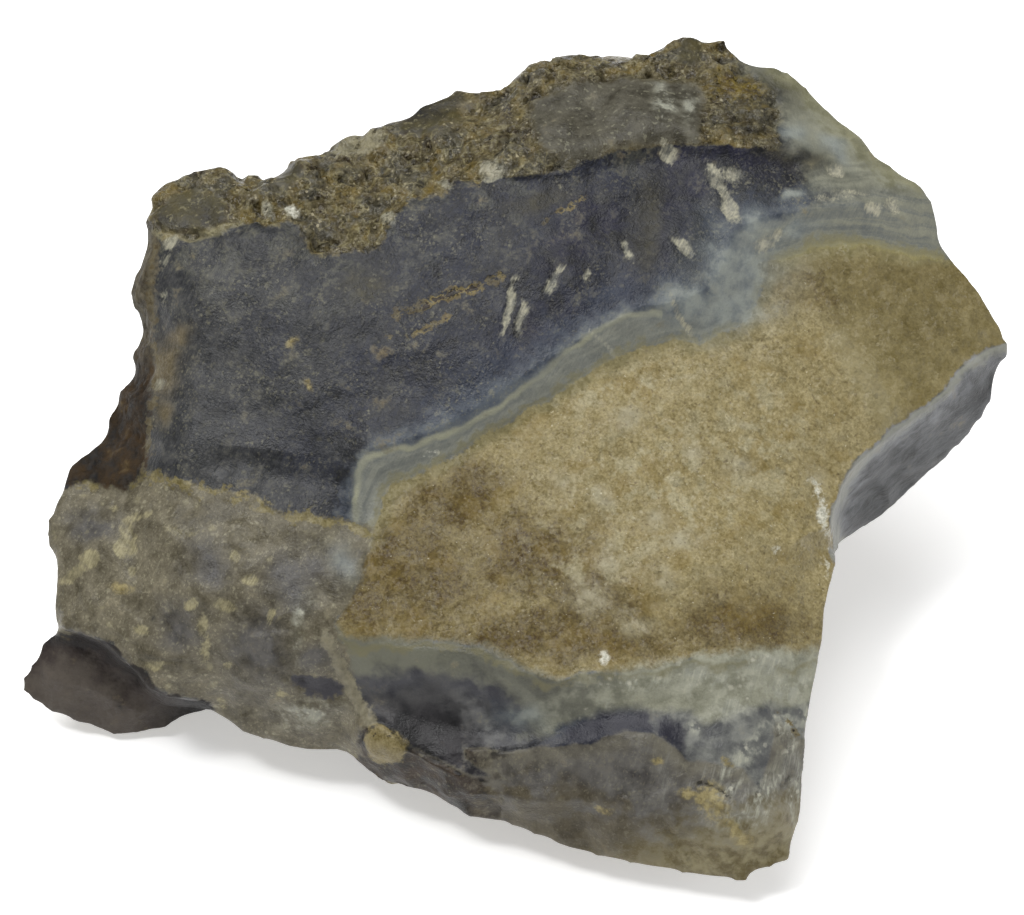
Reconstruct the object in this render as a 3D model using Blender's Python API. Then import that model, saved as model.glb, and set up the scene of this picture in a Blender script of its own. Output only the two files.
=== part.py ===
"""A hand specimen of rough blue lace agate: one broken piece of a chalcedony vein, about 99 mm across.

The broad broken face is drawn first. Its points are (across, up, out) in millimetres: across runs to the
right, up runs up the face, and out stands off it. They lie on sight lines that meet at one point, EYE mm
straight out from the middle of the face, so that the outline holds when the stone is looked at from there.
A closed rim is the stone's outline. Drawn lines carry the ledges, ridges and hollows inside it, on the
front sheet and on the back sheet, and each sheet is a skin stretched between its lines. Lumps are then
raised where the stone is rough, the two sheets are sewn along the rim, and a level cut makes the flat
spot that the stone rests on.
"""

import math

import bmesh
import bpy
import numpy as np
from mathutils import Vector, noise
from mathutils.geometry import delaunay_2d_cdt

MM = 0.001

# The face leans back from upright, and its middle stands this far from the flat spot's centre.
FACE_LEAN = math.radians(45)
FACE_MIDDLE = (-0.1, -7.0, 29.5)
EYE = 400.0

# How far apart the sheets' own points stand, and how close they may come to a drawn line.
FRONT_STEP = 1.85
BACK_STEP = 2.7
LINE_STEP = 1.9
CLEARANCE = 0.62
SKIN_PASSES = 500

# No side is left longer than this, and the rough walls are eased this often before lumps are raised on them.
LONGEST_SIDE = 3.7
EASE_PASSES = 9
EASED_FROM = 0.45

# Lumps: the size of one, how far it stands out where the roughness is 1, and the slower swell under them.
LUMP_SIZE = 8.0
LUMP_HEIGHT = 4.2
SWELL_SIZE = 17.0
SWELL_HEIGHT = 2.4

# ---- the rim, clockwise from the top left corner: (roughness, [(across, up, out), ...]) ----

CRUST_CREST = (0.4, [
    (-35.9, 26.0, -8.0), (-35.0, 27.4, -9.0), (-33.0, 28.2, -9.0), (-31.0, 28.8, -9.0),
    (-28.7, 29.0, -9.5), (-27.2, 28.1, -9.5), (-25.0, 28.0, -10.0), (-24.0, 27.4, -10.0),
    (-22.8, 27.9, -10.0), (-22.0, 29.1, -10.5), (-21.0, 29.7, -10.5), (-19.6, 30.1, -11.0),
    (-18.2, 31.5, -11.5), (-16.6, 32.1, -12.0), (-15.0, 32.1, -12.0), (-13.2, 32.8, -12.0),
    (-12.0, 33.6, -12.0), (-10.2, 33.7, -12.5), (-8.8, 34.9, -13.0), (-7.2, 35.6, -13.0),
    (-4.8, 36.4, -13.5), (-2.0, 36.4, -13.0), (0.3, 37.6, -13.0), (2.3, 39.2, -13.0),
    (4.8, 39.9, -13.0), (7.8, 40.6, -13.5), (10.0, 40.1, -13.5), (11.6, 39.8, -13.5),
    (13.8, 40.6, -14.0), (15.3, 40.9, -14.0), (17.0, 42.5, -14.5), (19.3, 41.8, -14.0),
    (21.6, 42.0, -14.0), (22.8, 39.8, -13.0),
])
RIGHT_SHOULDER = (0.2, [
    (24.0, 39.1, -12.5), (26.3, 39.1, -12.5), (28.4, 38.1, -12.0), (30.3, 35.8, -11.5),
    (32.3, 33.8, -11.0), (35.0, 31.8, -10.5), (36.3, 29.8, -10.0), (38.0, 29.1, -10.0),
    (39.3, 27.9, -9.5), (40.8, 27.3, -9.0), (41.9, 25.5, -8.5), (42.4, 23.8, -8.0),
    (42.6, 21.6, -7.5), (43.4, 20.3, -7.5), (44.8, 18.8, -7.0), (46.6, 16.6, -6.5),
    (48.3, 13.8, -6.0), (49.4, 12.1, -6.0), (49.8, 10.4, -6.5),
])
UNDERCUT = (0.25, [
    (48.8, 9.2, -8.0), (48.1, 7.6, -9.0), (47.9, 5.8, -10.0), (47.2, 4.1, -11.5),
    (45.3, 1.8, -13.5), (43.3, -0.2, -15.0), (40.8, -2.2, -16.0), (38.8, -4.2, -17.0),
    (36.6, -6.1, -17.5), (34.3, -7.4, -17.5), (32.7, -8.5, -17.0),
])
RIGHT_EDGE = (0.2, [
    (32.5, -9.2, -8.0), (32.3, -10.2, -0.5), (31.9, -12.2, 1.5), (31.3, -14.5, 2.5),
    (31.2, -16.4, 3.0), (30.7, -19.2, 3.5), (30.2, -22.2, 4.5), (29.5, -25.7, 5.0),
    (29.0, -29.2, 5.5), (28.8, -34.2, 6.0), (28.6, -36.4, 6.0), (28.1, -38.0, 6.0),
])
LOWER_EDGE = (0.2, [
    (27.9, -40.4, 6.0), (26.8, -40.6, 6.0), (25.0, -41.3, 6.0), (23.3, -42.3, 6.0),
    (20.8, -42.2, 5.5), (17.3, -41.7, 5.0), (12.8, -40.7, 4.5), (8.8, -39.8, 4.0),
    (6.8, -39.4, 3.5), (2.8, -38.0, 3.0), (-0.7, -36.4, 2.0), (-4.2, -36.0, 1.5),
    (-6.2, -34.6, 1.0), (-8.0, -33.5, 0.5), (-9.7, -33.2, 0.0), (-11.4, -32.6, -0.5),
    (-13.2, -32.2, -1.0), (-15.0, -30.6, -1.5), (-16.2, -29.4, -2.0), (-17.2, -29.0, -2.0),
    (-19.4, -29.2, -2.5), (-22.0, -28.8, -3.0), (-24.4, -28.1, -3.0), (-26.2, -27.9, -3.5),
    (-28.0, -26.5, -3.5), (-29.6, -25.3, -4.0),
])
LOBE_EDGE = (0.15, [
    (-30.7, -25.2, -10.5), (-33.2, -26.0, -11.0), (-34.7, -27.1, -11.5), (-37.2, -27.4, -12.0),
    (-39.4, -28.0, -12.0), (-40.8, -27.2, -12.0), (-43.4, -26.7, -11.5), (-46.0, -25.3, -11.0),
    (-47.8, -25.0, -11.0), (-49.1, -22.8, -10.5), (-48.6, -21.0, -10.0), (-47.2, -20.1, -9.5),
    (-46.9, -18.4, -9.0), (-45.7, -17.9, -8.5),
])
BLOCK_EDGE = (0.25, [
    (-45.5, -16.4, -4.0), (-45.9, -14.7, -3.5), (-45.5, -12.7, -3.5), (-45.5, -10.2, -4.0),
    (-46.2, -8.9, -5.5), (-46.7, -7.5, -6.0), (-46.4, -5.9, -6.0), (-45.2, -4.2, -6.0),
    (-44.4, -1.2, -7.0), (-43.0, 0.0, -8.0),
])
LEFT_FLANK = (0.3, [
    (-41.2, 1.4, -9.0), (-40.2, 2.2, -9.5), (-40.3, 3.4, -9.5), (-39.4, 5.3, -10.0),
    (-39.1, 6.5, -10.0), (-37.7, 8.0, -10.0), (-37.8, 10.0, -10.0), (-36.7, 11.8, -9.5),
    (-37.1, 14.2, -9.5), (-38.2, 15.7, -10.0), (-38.4, 16.6, -10.0), (-37.8, 18.2, -10.0),
    (-37.0, 19.4, -9.5), (-36.2, 22.2, -9.0), (-36.3, 24.0, -8.5),
])
RIM = [CRUST_CREST, RIGHT_SHOULDER, UNDERCUT, RIGHT_EDGE, LOWER_EDGE, LOBE_EDGE, BLOCK_EDGE, LEFT_FLANK]

# ---- lines of the front sheet ----

FRONT_LINES = {
    "crust crown": (1.0, [
        (-33.2, 25.6, -6.0), (-28.2, 26.2, -6.2), (-24.7, 25.2, -6.8), (-20.4, 27.2, -6.2),
        (-15.5, 28.6, -6.8), (-9.4, 31.0, -8.2), (-2.4, 33.6, -9.2), (2.0, 36.4, -9.6)]),
    "crust foot": (0.5, [
        (-34.6, 21.9, -4.6), (-31.2, 22.3, -4.0), (-27.7, 23.0, -3.8), (-22.4, 23.6, -3.4),
        (-20.2, 20.8, -2.4), (-16.7, 19.6, -1.8), (-13.7, 20.8, -1.8), (-11.2, 23.3, -2.4),
        (-8.2, 26.3, -3.0), (-3.2, 27.8, -3.6)]),
    "grey slab crest": (0.5, [
        (3.2, 35.0, -7.4), (4.8, 36.6, -8.0), (8.8, 37.5, -8.5), (14.8, 37.8, -9.0),
        (18.6, 36.8, -8.8), (20.3, 34.3, -7.0)]),
    "grey slab lip": (0.3, [
        (-1.0, 29.2, -3.4), (3.4, 29.8, -3.2), (8.8, 31.2, -3.4), (13.8, 32.2, -3.8),
        (18.8, 32.5, -4.2), (24.4, 32.2, -4.8), (28.6, 30.6, -5.6)]),
    "grey slab foot": (0.2, [
        (-0.6, 28.2, -4.2), (3.8, 28.9, -4.4), (9.2, 30.2, -4.9), (14.0, 31.2, -5.3),
        (18.8, 31.5, -5.7), (24.2, 31.2, -6.1), (28.2, 29.6, -6.6)]),
    "shoulder crown": (0.3, [
        (23.6, 36.0, -9.2), (27.4, 35.0, -9.0), (31.0, 31.6, -8.4), (34.6, 28.6, -7.8), (38.4, 25.6, -7.0)]),
    "blue left edge": (0.6, [
        (-35.0, 19.0, -4.6), (-35.2, 15.8, -4.0), (-35.4, 10.8, -3.2), (-36.0, 5.8, -2.4),
        (-36.4, 1.8, -1.8)]),
    "blue upper": (0.2, [
        (-30.2, 17.8, -2.4), (-24.2, 15.8, -1.2), (-16.2, 15.4, -0.4), (-7.2, 20.4, -1.2),
        (2.8, 24.2, -2.0), (11.8, 26.6, -2.8), (19.8, 27.4, -3.6)]),
    "blue middle": (0.2, [
        (-31.2, 6.8, -0.6), (-22.2, 6.6, 0.8), (-14.2, 8.4, 1.6), (-4.2, 13.0, 1.6),
        (5.8, 18.4, 0.8), (14.8, 21.2, -0.4)]),
    "blue lower": (0.2, [(-32.2, 1.4, 0.2), (-26.2, 1.0, 1.2), (-20.6, 0.2, 2.2)]),
    "block back": (0.5, [
        (-41.2, -1.2, -6.6), (-37.9, -0.7, -3.4), (-35.0, -0.4, -1.6), (-32.0, -1.1, -0.8),
        (-29.5, -2.1, -0.2), (-26.5, -1.9, 0.3), (-24.7, -2.7, 0.7), (-22.4, -3.7, 1.3),
        (-19.9, -4.4, 2.0), (-17.4, -5.0, 2.6)]),
    "block top": (0.6, [
        (-43.2, -2.6, -3.6), (-41.2, -2.9, -2.4), (-37.7, -2.0, -0.2), (-35.2, -1.6, 1.1),
        (-32.2, -2.4, 1.7), (-29.7, -3.4, 2.2), (-26.7, -3.2, 2.6), (-25.0, -4.0, 3.0),
        (-22.7, -5.0, 3.6), (-20.2, -5.7, 4.2), (-17.7, -6.4, 4.7), (-15.8, -7.6, 4.9)]),
    "block middle": (0.5, [
        (-42.2, -8.2, -0.8), (-38.2, -9.2, 1.4), (-31.2, -10.2, 4.2), (-24.2, -11.2, 5.9), (-19.4, -12.6, 6.0)]),
    "block lower": (0.5, [
        (-41.8, -14.6, -0.6), (-36.2, -17.2, 2.0), (-30.2, -19.4, 3.4), (-23.2, -21.4, 4.4), (-18.4, -22.4, 4.2)]),
    "block foot": (0.3, [
        (-44.6, -16.9, -2.6), (-42.7, -17.2, -1.4), (-40.4, -18.2, -0.6), (-39.2, -19.7, -0.4),
        (-37.2, -21.0, 0.0), (-36.2, -22.7, -0.2), (-34.4, -23.8, -0.5), (-31.4, -24.1, -1.4)]),
    "lobe root": (0.2, [
        (-44.9, -17.8, -7.6), (-42.9, -18.1, -7.8), (-41.1, -19.0, -8.0), (-39.9, -20.4, -8.4),
        (-37.9, -21.8, -8.8), (-36.9, -23.5, -9.4), (-34.8, -24.7, -9.9), (-31.8, -24.8, -10.0)]),
    "lobe crown": (0.2, [(-46.2, -22.2, -8.6), (-43.2, -22.8, -8.2), (-40.0, -24.2, -8.6), (-37.2, -25.4, -9.6)]),
    "lace shoulder": (0.1, [
        (-15.7, -4.0, 3.6), (-15.4, -1.8, 3.7), (-14.5, 0.9, 3.8), (-11.2, 1.5, 3.8),
        (-7.2, 3.0, 3.7), (-3.2, 5.3, 3.5), (0.8, 8.0, 3.2), (4.8, 10.6, 2.8),
        (8.8, 13.0, 2.4), (12.8, 15.0, 1.8), (16.8, 15.6, 1.4), (19.8, 17.0, 0.7),
        (21.3, 19.5, -0.3), (22.0, 22.5, -1.4), (25.0, 24.0, -2.4), (29.8, 24.8, -3.4),
        (34.8, 25.2, -4.6), (39.6, 24.0, -6.2)]),
    "lace foot": (0.1, [
        (-12.2, -2.7, 2.7), (-9.2, -1.2, 2.6), (-5.2, 0.3, 2.4), (-1.2, 2.3, 2.1),
        (3.8, 5.6, 1.7), (9.3, 9.0, 1.1), (14.8, 11.3, 0.4), (20.8, 12.8, -0.5),
        (24.0, 15.6, -1.5), (25.2, 19.8, -2.7), (30.8, 21.6, -4.2), (36.8, 21.3, -5.2),
        (40.8, 20.4, -6.2)]),
    "core upper": (0.12, [
        (-11.6, -7.2, 3.8), (-2.2, -3.4, 3.8), (8.8, 1.8, 3.6), (18.8, 6.2, 2.0),
        (26.8, 10.6, -0.4), (33.2, 13.4, -2.8), (39.8, 14.2, -4.4), (45.0, 13.8, -5.2)]),
    "core lower": (0.12, [
        (-15.8, -13.6, 5.2), (-6.2, -13.8, 6.2), (4.8, -14.6, 7.6), (14.8, -12.8, 7.4),
        (22.8, -9.8, 5.6), (28.8, -8.2, 3.2)]),
    "core ridge": (0.1, [(32.8, 9.4, -1.6), (35.6, 6.2, -1.4), (37.4, 4.0, -1.6)]),
    "core toe": (0.15, [
        (-18.4, -17.4, 5.4), (-16.0, -18.4, 5.8), (-11.2, -19.2, 6.7), (-5.2, -19.4, 7.6),
        (-0.2, -21.2, 8.4), (4.8, -22.4, 9.1), (9.8, -21.3, 9.2), (16.8, -20.7, 8.7),
        (22.8, -20.1, 7.6), (28.6, -20.0, 5.2)]),
    "scoop": (0.15, [
        (-15.4, -23.4, 3.6), (-11.2, -25.3, 3.8), (-7.2, -26.9, 3.9), (-2.2, -27.2, 4.9),
        (3.8, -26.6, 6.5), (9.8, -25.6, 7.5), (16.8, -25.2, 7.9), (24.8, -25.6, 6.9)]),
    "slab lip left": (0.4, [
        (-14.9, -26.6, 3.4), (-13.0, -27.4, 4.4), (-10.8, -28.9, 4.9), (-7.9, -30.5, 5.3), (-5.2, -31.6, 5.6)]),
    "slab lip right": (0.3, [
        (-3.8, -29.4, 6.1), (-0.2, -29.3, 6.8), (4.8, -28.9, 7.9), (9.8, -27.8, 8.7),
        (13.8, -27.5, 9.0), (17.8, -28.6, 9.0), (22.8, -29.6, 8.2), (26.8, -30.0, 7.2)]),
    "slab belly": (0.35, [
        (-6.2, -33.2, 4.4), (0.8, -34.0, 6.4), (8.8, -34.8, 8.0), (16.8, -35.2, 9.1),
        (22.4, -35.2, 9.3), (26.4, -35.6, 8.0)]),
    "undercut lip": (0.1, [
        (48.0, 10.6, -5.6), (46.3, 9.3, -4.8), (43.3, 6.3, -3.8), (39.3, 3.3, -2.6),
        (36.8, 1.3, -1.8), (34.3, -0.7, -1.0), (32.8, -2.6, -0.4), (32.0, -5.0, 0.4), (31.7, -7.0, 0.8)]),
    "undercut wall": (0.25, [
        (32.6, -6.6, -11.4), (33.6, -4.4, -10.0), (35.2, -2.6, -9.4), (38.9, -0.4, -8.8),
        (43.3, 3.2, -8.0), (46.4, 6.4, -7.2)]),
}

# ---- lines of the back sheet: the weathered back, the underside and the right flank ----

BACK_LINES = {
    "back shoulder": (0.8, [
        (-32.4, 21.6, -19.5), (-24.0, 23.4, -23.0), (-15.0, 26.4, -25.5), (-5.0, 30.6, -27.0),
        (5.0, 34.2, -28.0), (15.0, 36.0, -29.0), (22.0, 34.6, -28.0), (28.6, 30.4, -26.0),
        (34.6, 24.6, -23.0), (39.0, 18.2, -20.0), (42.4, 12.4, -18.0), (43.6, 7.6, -17.0)]),
    "back belly": (0.9, [
        (-27.0, 12.6, -29.0), (-15.0, 16.6, -34.0), (-3.0, 20.0, -37.0), (8.0, 22.0, -38.5),
        (18.0, 21.6, -37.0), (27.0, 17.2, -33.0), (33.0, 10.6, -28.0), (37.4, 3.8, -23.5)]),
    "back foot": (0.7, [
        (-25.0, 1.0, -31.0), (-12.0, 3.6, -37.0), (2.0, 5.8, -40.5), (14.0, 5.6, -40.0),
        (23.4, 2.2, -36.0), (29.6, -3.4, -29.0)]),
    "flat spot": (0.0, [
        (-15.0, -12.0, -30.4), (-11.0, -7.5, -34.9), (0.0, -5.0, -37.4), (9.5, -6.0, -36.4),
        (15.5, -10.5, -31.9), (17.5, -18.0, -24.4), (14.0, -25.5, -16.9), (6.0, -28.0, -14.4),
        (-2.0, -26.5, -15.9), (-8.5, -23.0, -19.4), (-14.0, -17.5, -24.9), (-15.0, -12.0, -30.4)]),
    "right flank": (0.3, [
        (30.2, -10.6, -19.0), (29.2, -15.0, -11.0), (28.2, -20.6, -7.6), (27.4, -27.0, -4.8), (26.6, -34.4, -1.6)]),
    "left flank": (0.9, [
        (-34.4, 13.0, -18.0), (-34.6, 6.0, -20.0), (-36.8, 0.0, -19.4), (-40.6, -5.0, -16.4),
        (-42.2, -11.0, -14.4)]),
    "left underside": (0.6, [
        (-43.8, -19.6, -18.2), (-40.8, -22.6, -18.0), (-34.6, -22.6, -18.0), (-28.0, -22.6, -17.2),
        (-20.0, -26.2, -12.4), (-12.0, -29.4, -9.2)]),
    "left hollow": (0.6, [(-37.6, -14.0, -22.0), (-31.6, -10.0, -25.6), (-29.0, -2.0, -29.0)]),
}


def spaced(points, step, closed=False):
    """The same line with points no more than step apart, read along it."""
    ends = points + points[:1] if closed else points
    made = []
    for a, b in zip(ends, ends[1:]):
        length = math.hypot(b[0] - a[0], b[1] - a[1])
        count = max(1, math.ceil(length / step))
        for i in range(count):
            t = i / count
            made.append(tuple(p + (q - p) * t for p, q in zip(a, b)))
    if not closed:
        made.append(ends[-1])
    return made


def rim_points():
    """The rim as (across, up, out, roughness), with long gaps filled."""
    drawn = [(*p, rough) for rough, points in RIM for p in points]
    return spaced(drawn, LINE_STEP, closed=True)


def inside(polygon, x, y):
    """Whether each point (x, y) is inside the polygon, by counting the sides that lie to its right."""
    hit = np.zeros(len(x), bool)
    for (x0, y0), (x1, y1) in zip(polygon, np.roll(polygon, -1, axis=0)):
        crosses = (y0 > y) != (y1 > y)
        hit ^= crosses & (x < (x1 - x0) * (y - y0) / (y1 - y0 + 1e-12) + x0)
    return hit


def scatter(rim, taken, step, seed):
    """Loose points on a shaken triangular grid inside the rim, clear of the points that lines have taken."""
    random = np.random.default_rng(seed)
    low, high = rim.min(0), rim.max(0)
    rows = np.arange(low[1], high[1], step * math.sqrt(3) / 2)
    found = []
    for i, y in enumerate(rows):
        x = np.arange(low[0] + (i % 2) * step / 2, high[0], step)
        found.append(np.stack([x, np.full(len(x), y)], axis=1))
    grid = np.concatenate(found)
    grid += random.uniform(-0.16 * step, 0.16 * step, grid.shape)
    grid = grid[inside(rim, grid[:, 0], grid[:, 1])]
    gaps = np.sqrt(((grid[:, None] - taken[None]) ** 2).sum(-1)).min(1)
    return grid[gaps > CLEARANCE * step]


def split_chords(points, edges, rim_count):
    """Triangles over the points, with a point added on any side that would join two rim points across the sheet."""
    while True:
        places, _, triangles, origins, _, _ = delaunay_2d_cdt(
            [Vector(p) for p in points], edges, [list(range(rim_count))], 1, 1e-4)
        order = np.full(len(places), -1)
        for i, origin in enumerate(origins):
            for o in origin:
                if o < rim_count:
                    order[i] = o
        chords = set()
        for triangle in triangles:
            for a, b in zip(triangle, triangle[1:] + triangle[:1]):
                apart = abs(order[a] - order[b])
                if min(order[a], order[b]) >= 0 and apart not in (1, rim_count - 1):
                    chords.add((min(a, b), max(a, b)))
        if not chords:
            return places, triangles, origins
        middles = [(places[a] + places[b]) / 2 for a, b in sorted(chords)]
        points = np.concatenate([points, [tuple(m) for m in middles]])


def sheet(lines, step, seed):
    """One sheet inside the rim: its points, their distance out and roughness, its triangles and the rim's indices."""
    rim = rim_points()
    known = list(rim)
    edges = [(i, (i + 1) % len(rim)) for i in range(len(rim))]
    for rough, points in lines.values():
        line = spaced([(*p, rough) for p in points], LINE_STEP)
        first = len(known)
        known += line
        edges += [(first + i, first + i + 1) for i in range(len(line) - 1)]
    known = np.array(known)
    loose = scatter(known[: len(rim), :2], known[:, :2], step, seed)
    flat = np.concatenate([known[:, :2], loose])
    places, triangles, origins = split_chords(flat, edges, len(rim))
    values = np.zeros((len(places), 2))
    fixed = np.zeros(len(places), bool)
    rim_at = np.full(len(rim), -1)
    for i, origin in enumerate(origins):
        held = [o for o in origin if o < len(known)]
        if held:
            values[i] = known[held[0], 2:]
            fixed[i] = True
        for o in held:
            if o < len(rim):
                rim_at[o] = i
    stretched = stretch(values, fixed, np.array(triangles))
    return np.array([tuple(p) for p in places]), stretched, np.array(triangles), rim_at


def stretch(values, fixed, triangles):
    """Each free point takes the mean of its neighbours, again and again: a skin stretched between the lines."""
    ends = np.concatenate([triangles[:, [0, 1]], triangles[:, [1, 2]], triangles[:, [2, 0]]])
    ends = np.unique(np.sort(ends, axis=1), axis=0)
    a, b = np.concatenate([ends, ends[:, ::-1]]).T
    count = np.bincount(a, minlength=len(values))[:, None]
    values = values.copy()
    values[~fixed] = values[fixed].mean(0)
    for _ in range(SKIN_PASSES):
        total = np.zeros_like(values)
        np.add.at(total, a, values[b])
        values = np.where(fixed[:, None], values, total / count)
    return values


def placed(across, up, out):
    """A point of the drawing in the stone's own frame, in metres."""
    taper = 1 - out / EYE
    x = across * taper
    rise = up * taper
    y = rise * math.sin(FACE_LEAN) - out * math.cos(FACE_LEAN)
    z = rise * math.cos(FACE_LEAN) + out * math.sin(FACE_LEAN)
    return Vector((x + FACE_MIDDLE[0], y + FACE_MIDDLE[1], z + FACE_MIDDLE[2])) * MM


def lump(place):
    """How far a rough surface stands out at a point of the stone, in millimetres: rounded lumps on a slow swell."""
    at = place / MM
    near = noise.voronoi(at / LUMP_SIZE)[0]
    dome = 0.55 - min(near[0], 1.0)
    swell = noise.noise(at / SWELL_SIZE)
    return LUMP_HEIGHT * dome + SWELL_HEIGHT * swell


def even_out(stone):
    """Halves the sides that stretch too far down the steep walls, until none is too long."""
    stretched = True
    while stretched:
        stretched = [e for e in stone.edges if e.calc_length() > LONGEST_SIDE * MM]
        bmesh.ops.subdivide_edges(stone, edges=stretched, cuts=1)
        bmesh.ops.triangulate(stone, faces=stone.faces[:])


def sewn_stone():
    """The two sheets as one closed mesh, with the lumps raised everywhere but on the rim."""
    stone = bmesh.new()
    rough = stone.verts.layers.float.new("roughness")
    rim_verts = []
    for number, (lines, step) in enumerate([(FRONT_LINES, FRONT_STEP), (BACK_LINES, BACK_STEP)]):
        places, values, triangles, rim_at = sheet(lines, step, seed=number)
        verts = {}
        for order, i in enumerate(rim_at):
            if number:
                verts[i] = rim_verts[order]
        for i, (place, (out, roughness)) in enumerate(zip(places, values)):
            if i not in verts:
                verts[i] = stone.verts.new(placed(*place, out))
                verts[i][rough] = roughness
        if not number:
            rim_verts = [verts[i] for i in rim_at]
        for a, b, c in triangles:
            corners = [verts[a], verts[b], verts[c]]
            stone.faces.new(corners[::-1] if number else corners)
    for vert in rim_verts:
        vert[rough] = 0.0
    even_out(stone)
    eased = [v for v in stone.verts if v[rough] > EASED_FROM]
    for _ in range(EASE_PASSES):
        bmesh.ops.smooth_vert(stone, verts=eased, factor=0.5, use_axis_x=True, use_axis_y=True, use_axis_z=True)
    stone.normal_update()
    moves = [(v, v.normal * (lump(v.co) * v[rough] * MM)) for v in stone.verts]
    for vert, move in moves:
        vert.co += move
    return stone


def cut_level(stone):
    """Cuts the stone off level at the height it rests at, and closes the cut with one flat face."""
    made = bmesh.ops.bisect_plane(
        stone, geom=stone.verts[:] + stone.edges[:] + stone.faces[:],
        plane_co=(0, 0, 0), plane_no=(0, 0, -1), clear_outer=True)
    rim = [e for e in made["geom_cut"] if isinstance(e, bmesh.types.BMEdge)]
    for face in bmesh.ops.edgenet_fill(stone, edges=rim)["faces"]:
        face.normal_update()
        if face.normal.z > 0:
            face.normal_flip()


def agate_material():
    """Blue-grey chalcedony, dull to waxy."""
    material = bpy.data.materials.new("blue_chalcedony")
    material.use_nodes = True
    shader = material.node_tree.nodes["Principled BSDF"]
    shader.inputs["Base Color"].default_value = (0.16, 0.16, 0.19, 1)
    shader.inputs["Roughness"].default_value = 0.55
    shader.inputs["Metallic"].default_value = 0.0
    return material


def main():
    for old in list(bpy.data.objects):
        bpy.data.objects.remove(old)
    stone = sewn_stone()
    cut_level(stone)
    mesh = bpy.data.meshes.new("agate")
    stone.to_mesh(mesh)
    stone.free()
    mesh.shade_smooth()
    mesh.set_sharp_from_angle(angle=math.radians(35))
    mesh.materials.append(agate_material())
    bpy.context.scene.collection.objects.link(bpy.data.objects.new("agate", mesh))


main()
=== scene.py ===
# %% [markdown]
# # A piece of blue lace agate
#
# This stone is one lump of chalcedony, broken across the vein it grew in. From the top of its broken face
# down it shows a brown crystal crust, slate-blue chalcedony, a thin pale band called the lace, a tan core of
# sugary quartz, a second pale band, a dark hollow and a brown ledge. We start from the solid model, which has
# the main forms, and give it the fine relief and the colours of the real mineral.

# %% Load the solid model
import itertools
import math
import bmesh
import bpy
import numpy as np
from mathutils import Matrix, Vector
from mathutils.bvhtree import BVHTree


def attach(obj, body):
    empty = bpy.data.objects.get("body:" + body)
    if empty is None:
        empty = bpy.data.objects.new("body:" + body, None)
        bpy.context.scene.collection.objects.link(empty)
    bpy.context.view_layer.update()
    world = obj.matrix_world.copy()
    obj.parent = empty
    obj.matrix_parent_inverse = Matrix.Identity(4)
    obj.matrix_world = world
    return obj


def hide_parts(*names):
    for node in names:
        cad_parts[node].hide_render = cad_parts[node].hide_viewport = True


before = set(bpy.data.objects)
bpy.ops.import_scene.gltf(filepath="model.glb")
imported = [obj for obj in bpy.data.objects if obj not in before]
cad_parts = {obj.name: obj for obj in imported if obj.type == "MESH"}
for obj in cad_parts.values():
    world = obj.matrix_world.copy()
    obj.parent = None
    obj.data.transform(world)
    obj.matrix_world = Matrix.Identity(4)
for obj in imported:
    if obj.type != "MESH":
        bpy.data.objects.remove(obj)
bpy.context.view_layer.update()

MM = 0.001
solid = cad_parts["agate"]

# %% [markdown]
# The broken face leans back at 45 degrees. Places on it are easiest to give as (across, up) in millimetres,
# as on a drawing pinned to the face, with a third number for how far a point stands out of the drawing.
# The drawing is seen from an eye 400 mm in front of it, so the numbers are taken along the eye's own sight
# lines. The same eye is the camera's place later on.

# %% The face's own axes
FACE_LEAN = math.radians(45)
FACE_MIDDLE = np.array((-0.1, -7.0, 29.5))
EYE_DISTANCE = 400.0
ACROSS = np.array((1.0, 0.0, 0.0))
UP = np.array((0.0, math.sin(FACE_LEAN), math.cos(FACE_LEAN)))
OUT = np.array((0.0, -math.cos(FACE_LEAN), math.sin(FACE_LEAN)))
EYE = FACE_MIDDLE + OUT * EYE_DISTANCE


def on_face(points):
    """(across, up, out) in millimetres of points that are given in millimetres."""
    offset = points - FACE_MIDDLE
    out = offset @ OUT
    taper = 1 - out / EYE_DISTANCE
    return (offset @ ACROSS) / taper, (offset @ UP) / taper, out


print("the eye in mm:", EYE.round(1))

# %% [markdown]
# The solid's triangles are about 2 mm wide, too coarse for rock. A voxel remesh gives an even net of small
# squares, but one fine enough for the face would waste most of its squares on the plain back. So the net is
# made about 1 mm wide, and only the squares that look towards the eye are cut into nine. A remesh also loses
# edges that are thinner than its squares, so it gets a copy whose sharp edges are cut blunt and which is then
# swollen by 0.6 mm. Every new point is pulled back to the solid in the next step.

# %% An even net, finer on the broken face
NET = 1.05
SWELL = 0.6
SHARP = math.radians(60)
BLUNT = 0.2
WELD = 0.01
LEAST_FACING = 0.02
CUTS = 2


def even_net(source, size):
    """The source's surface, a little swollen, as a new mesh of squares of one size."""
    swollen = bmesh.new()
    swollen.from_mesh(source.data)
    bmesh.ops.remove_doubles(swollen, verts=swollen.verts, dist=WELD * MM)
    swollen.normal_update()
    sharp = [edge for edge in swollen.edges if edge.is_manifold and edge.calc_face_angle() > SHARP]
    bmesh.ops.bevel(swollen, geom=sharp, offset=BLUNT * MM, segments=1, affect="EDGES", clamp_overlap=True)
    swollen.normal_update()
    for vertex in swollen.verts:
        vertex.co += vertex.normal * SWELL * MM
    helper_mesh = bpy.data.meshes.new("net_helper")
    swollen.to_mesh(helper_mesh)
    swollen.free()
    helper = bpy.data.objects.new("net_helper", helper_mesh)
    bpy.context.scene.collection.objects.link(helper)
    remesh = helper.modifiers.new("remesh", "REMESH")
    remesh.mode = "VOXEL"
    remesh.voxel_size = size * MM
    dependencies = bpy.context.evaluated_depsgraph_get()
    mesh = bpy.data.meshes.new_from_object(helper.evaluated_get(dependencies))
    bpy.data.objects.remove(helper)
    return mesh


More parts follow.
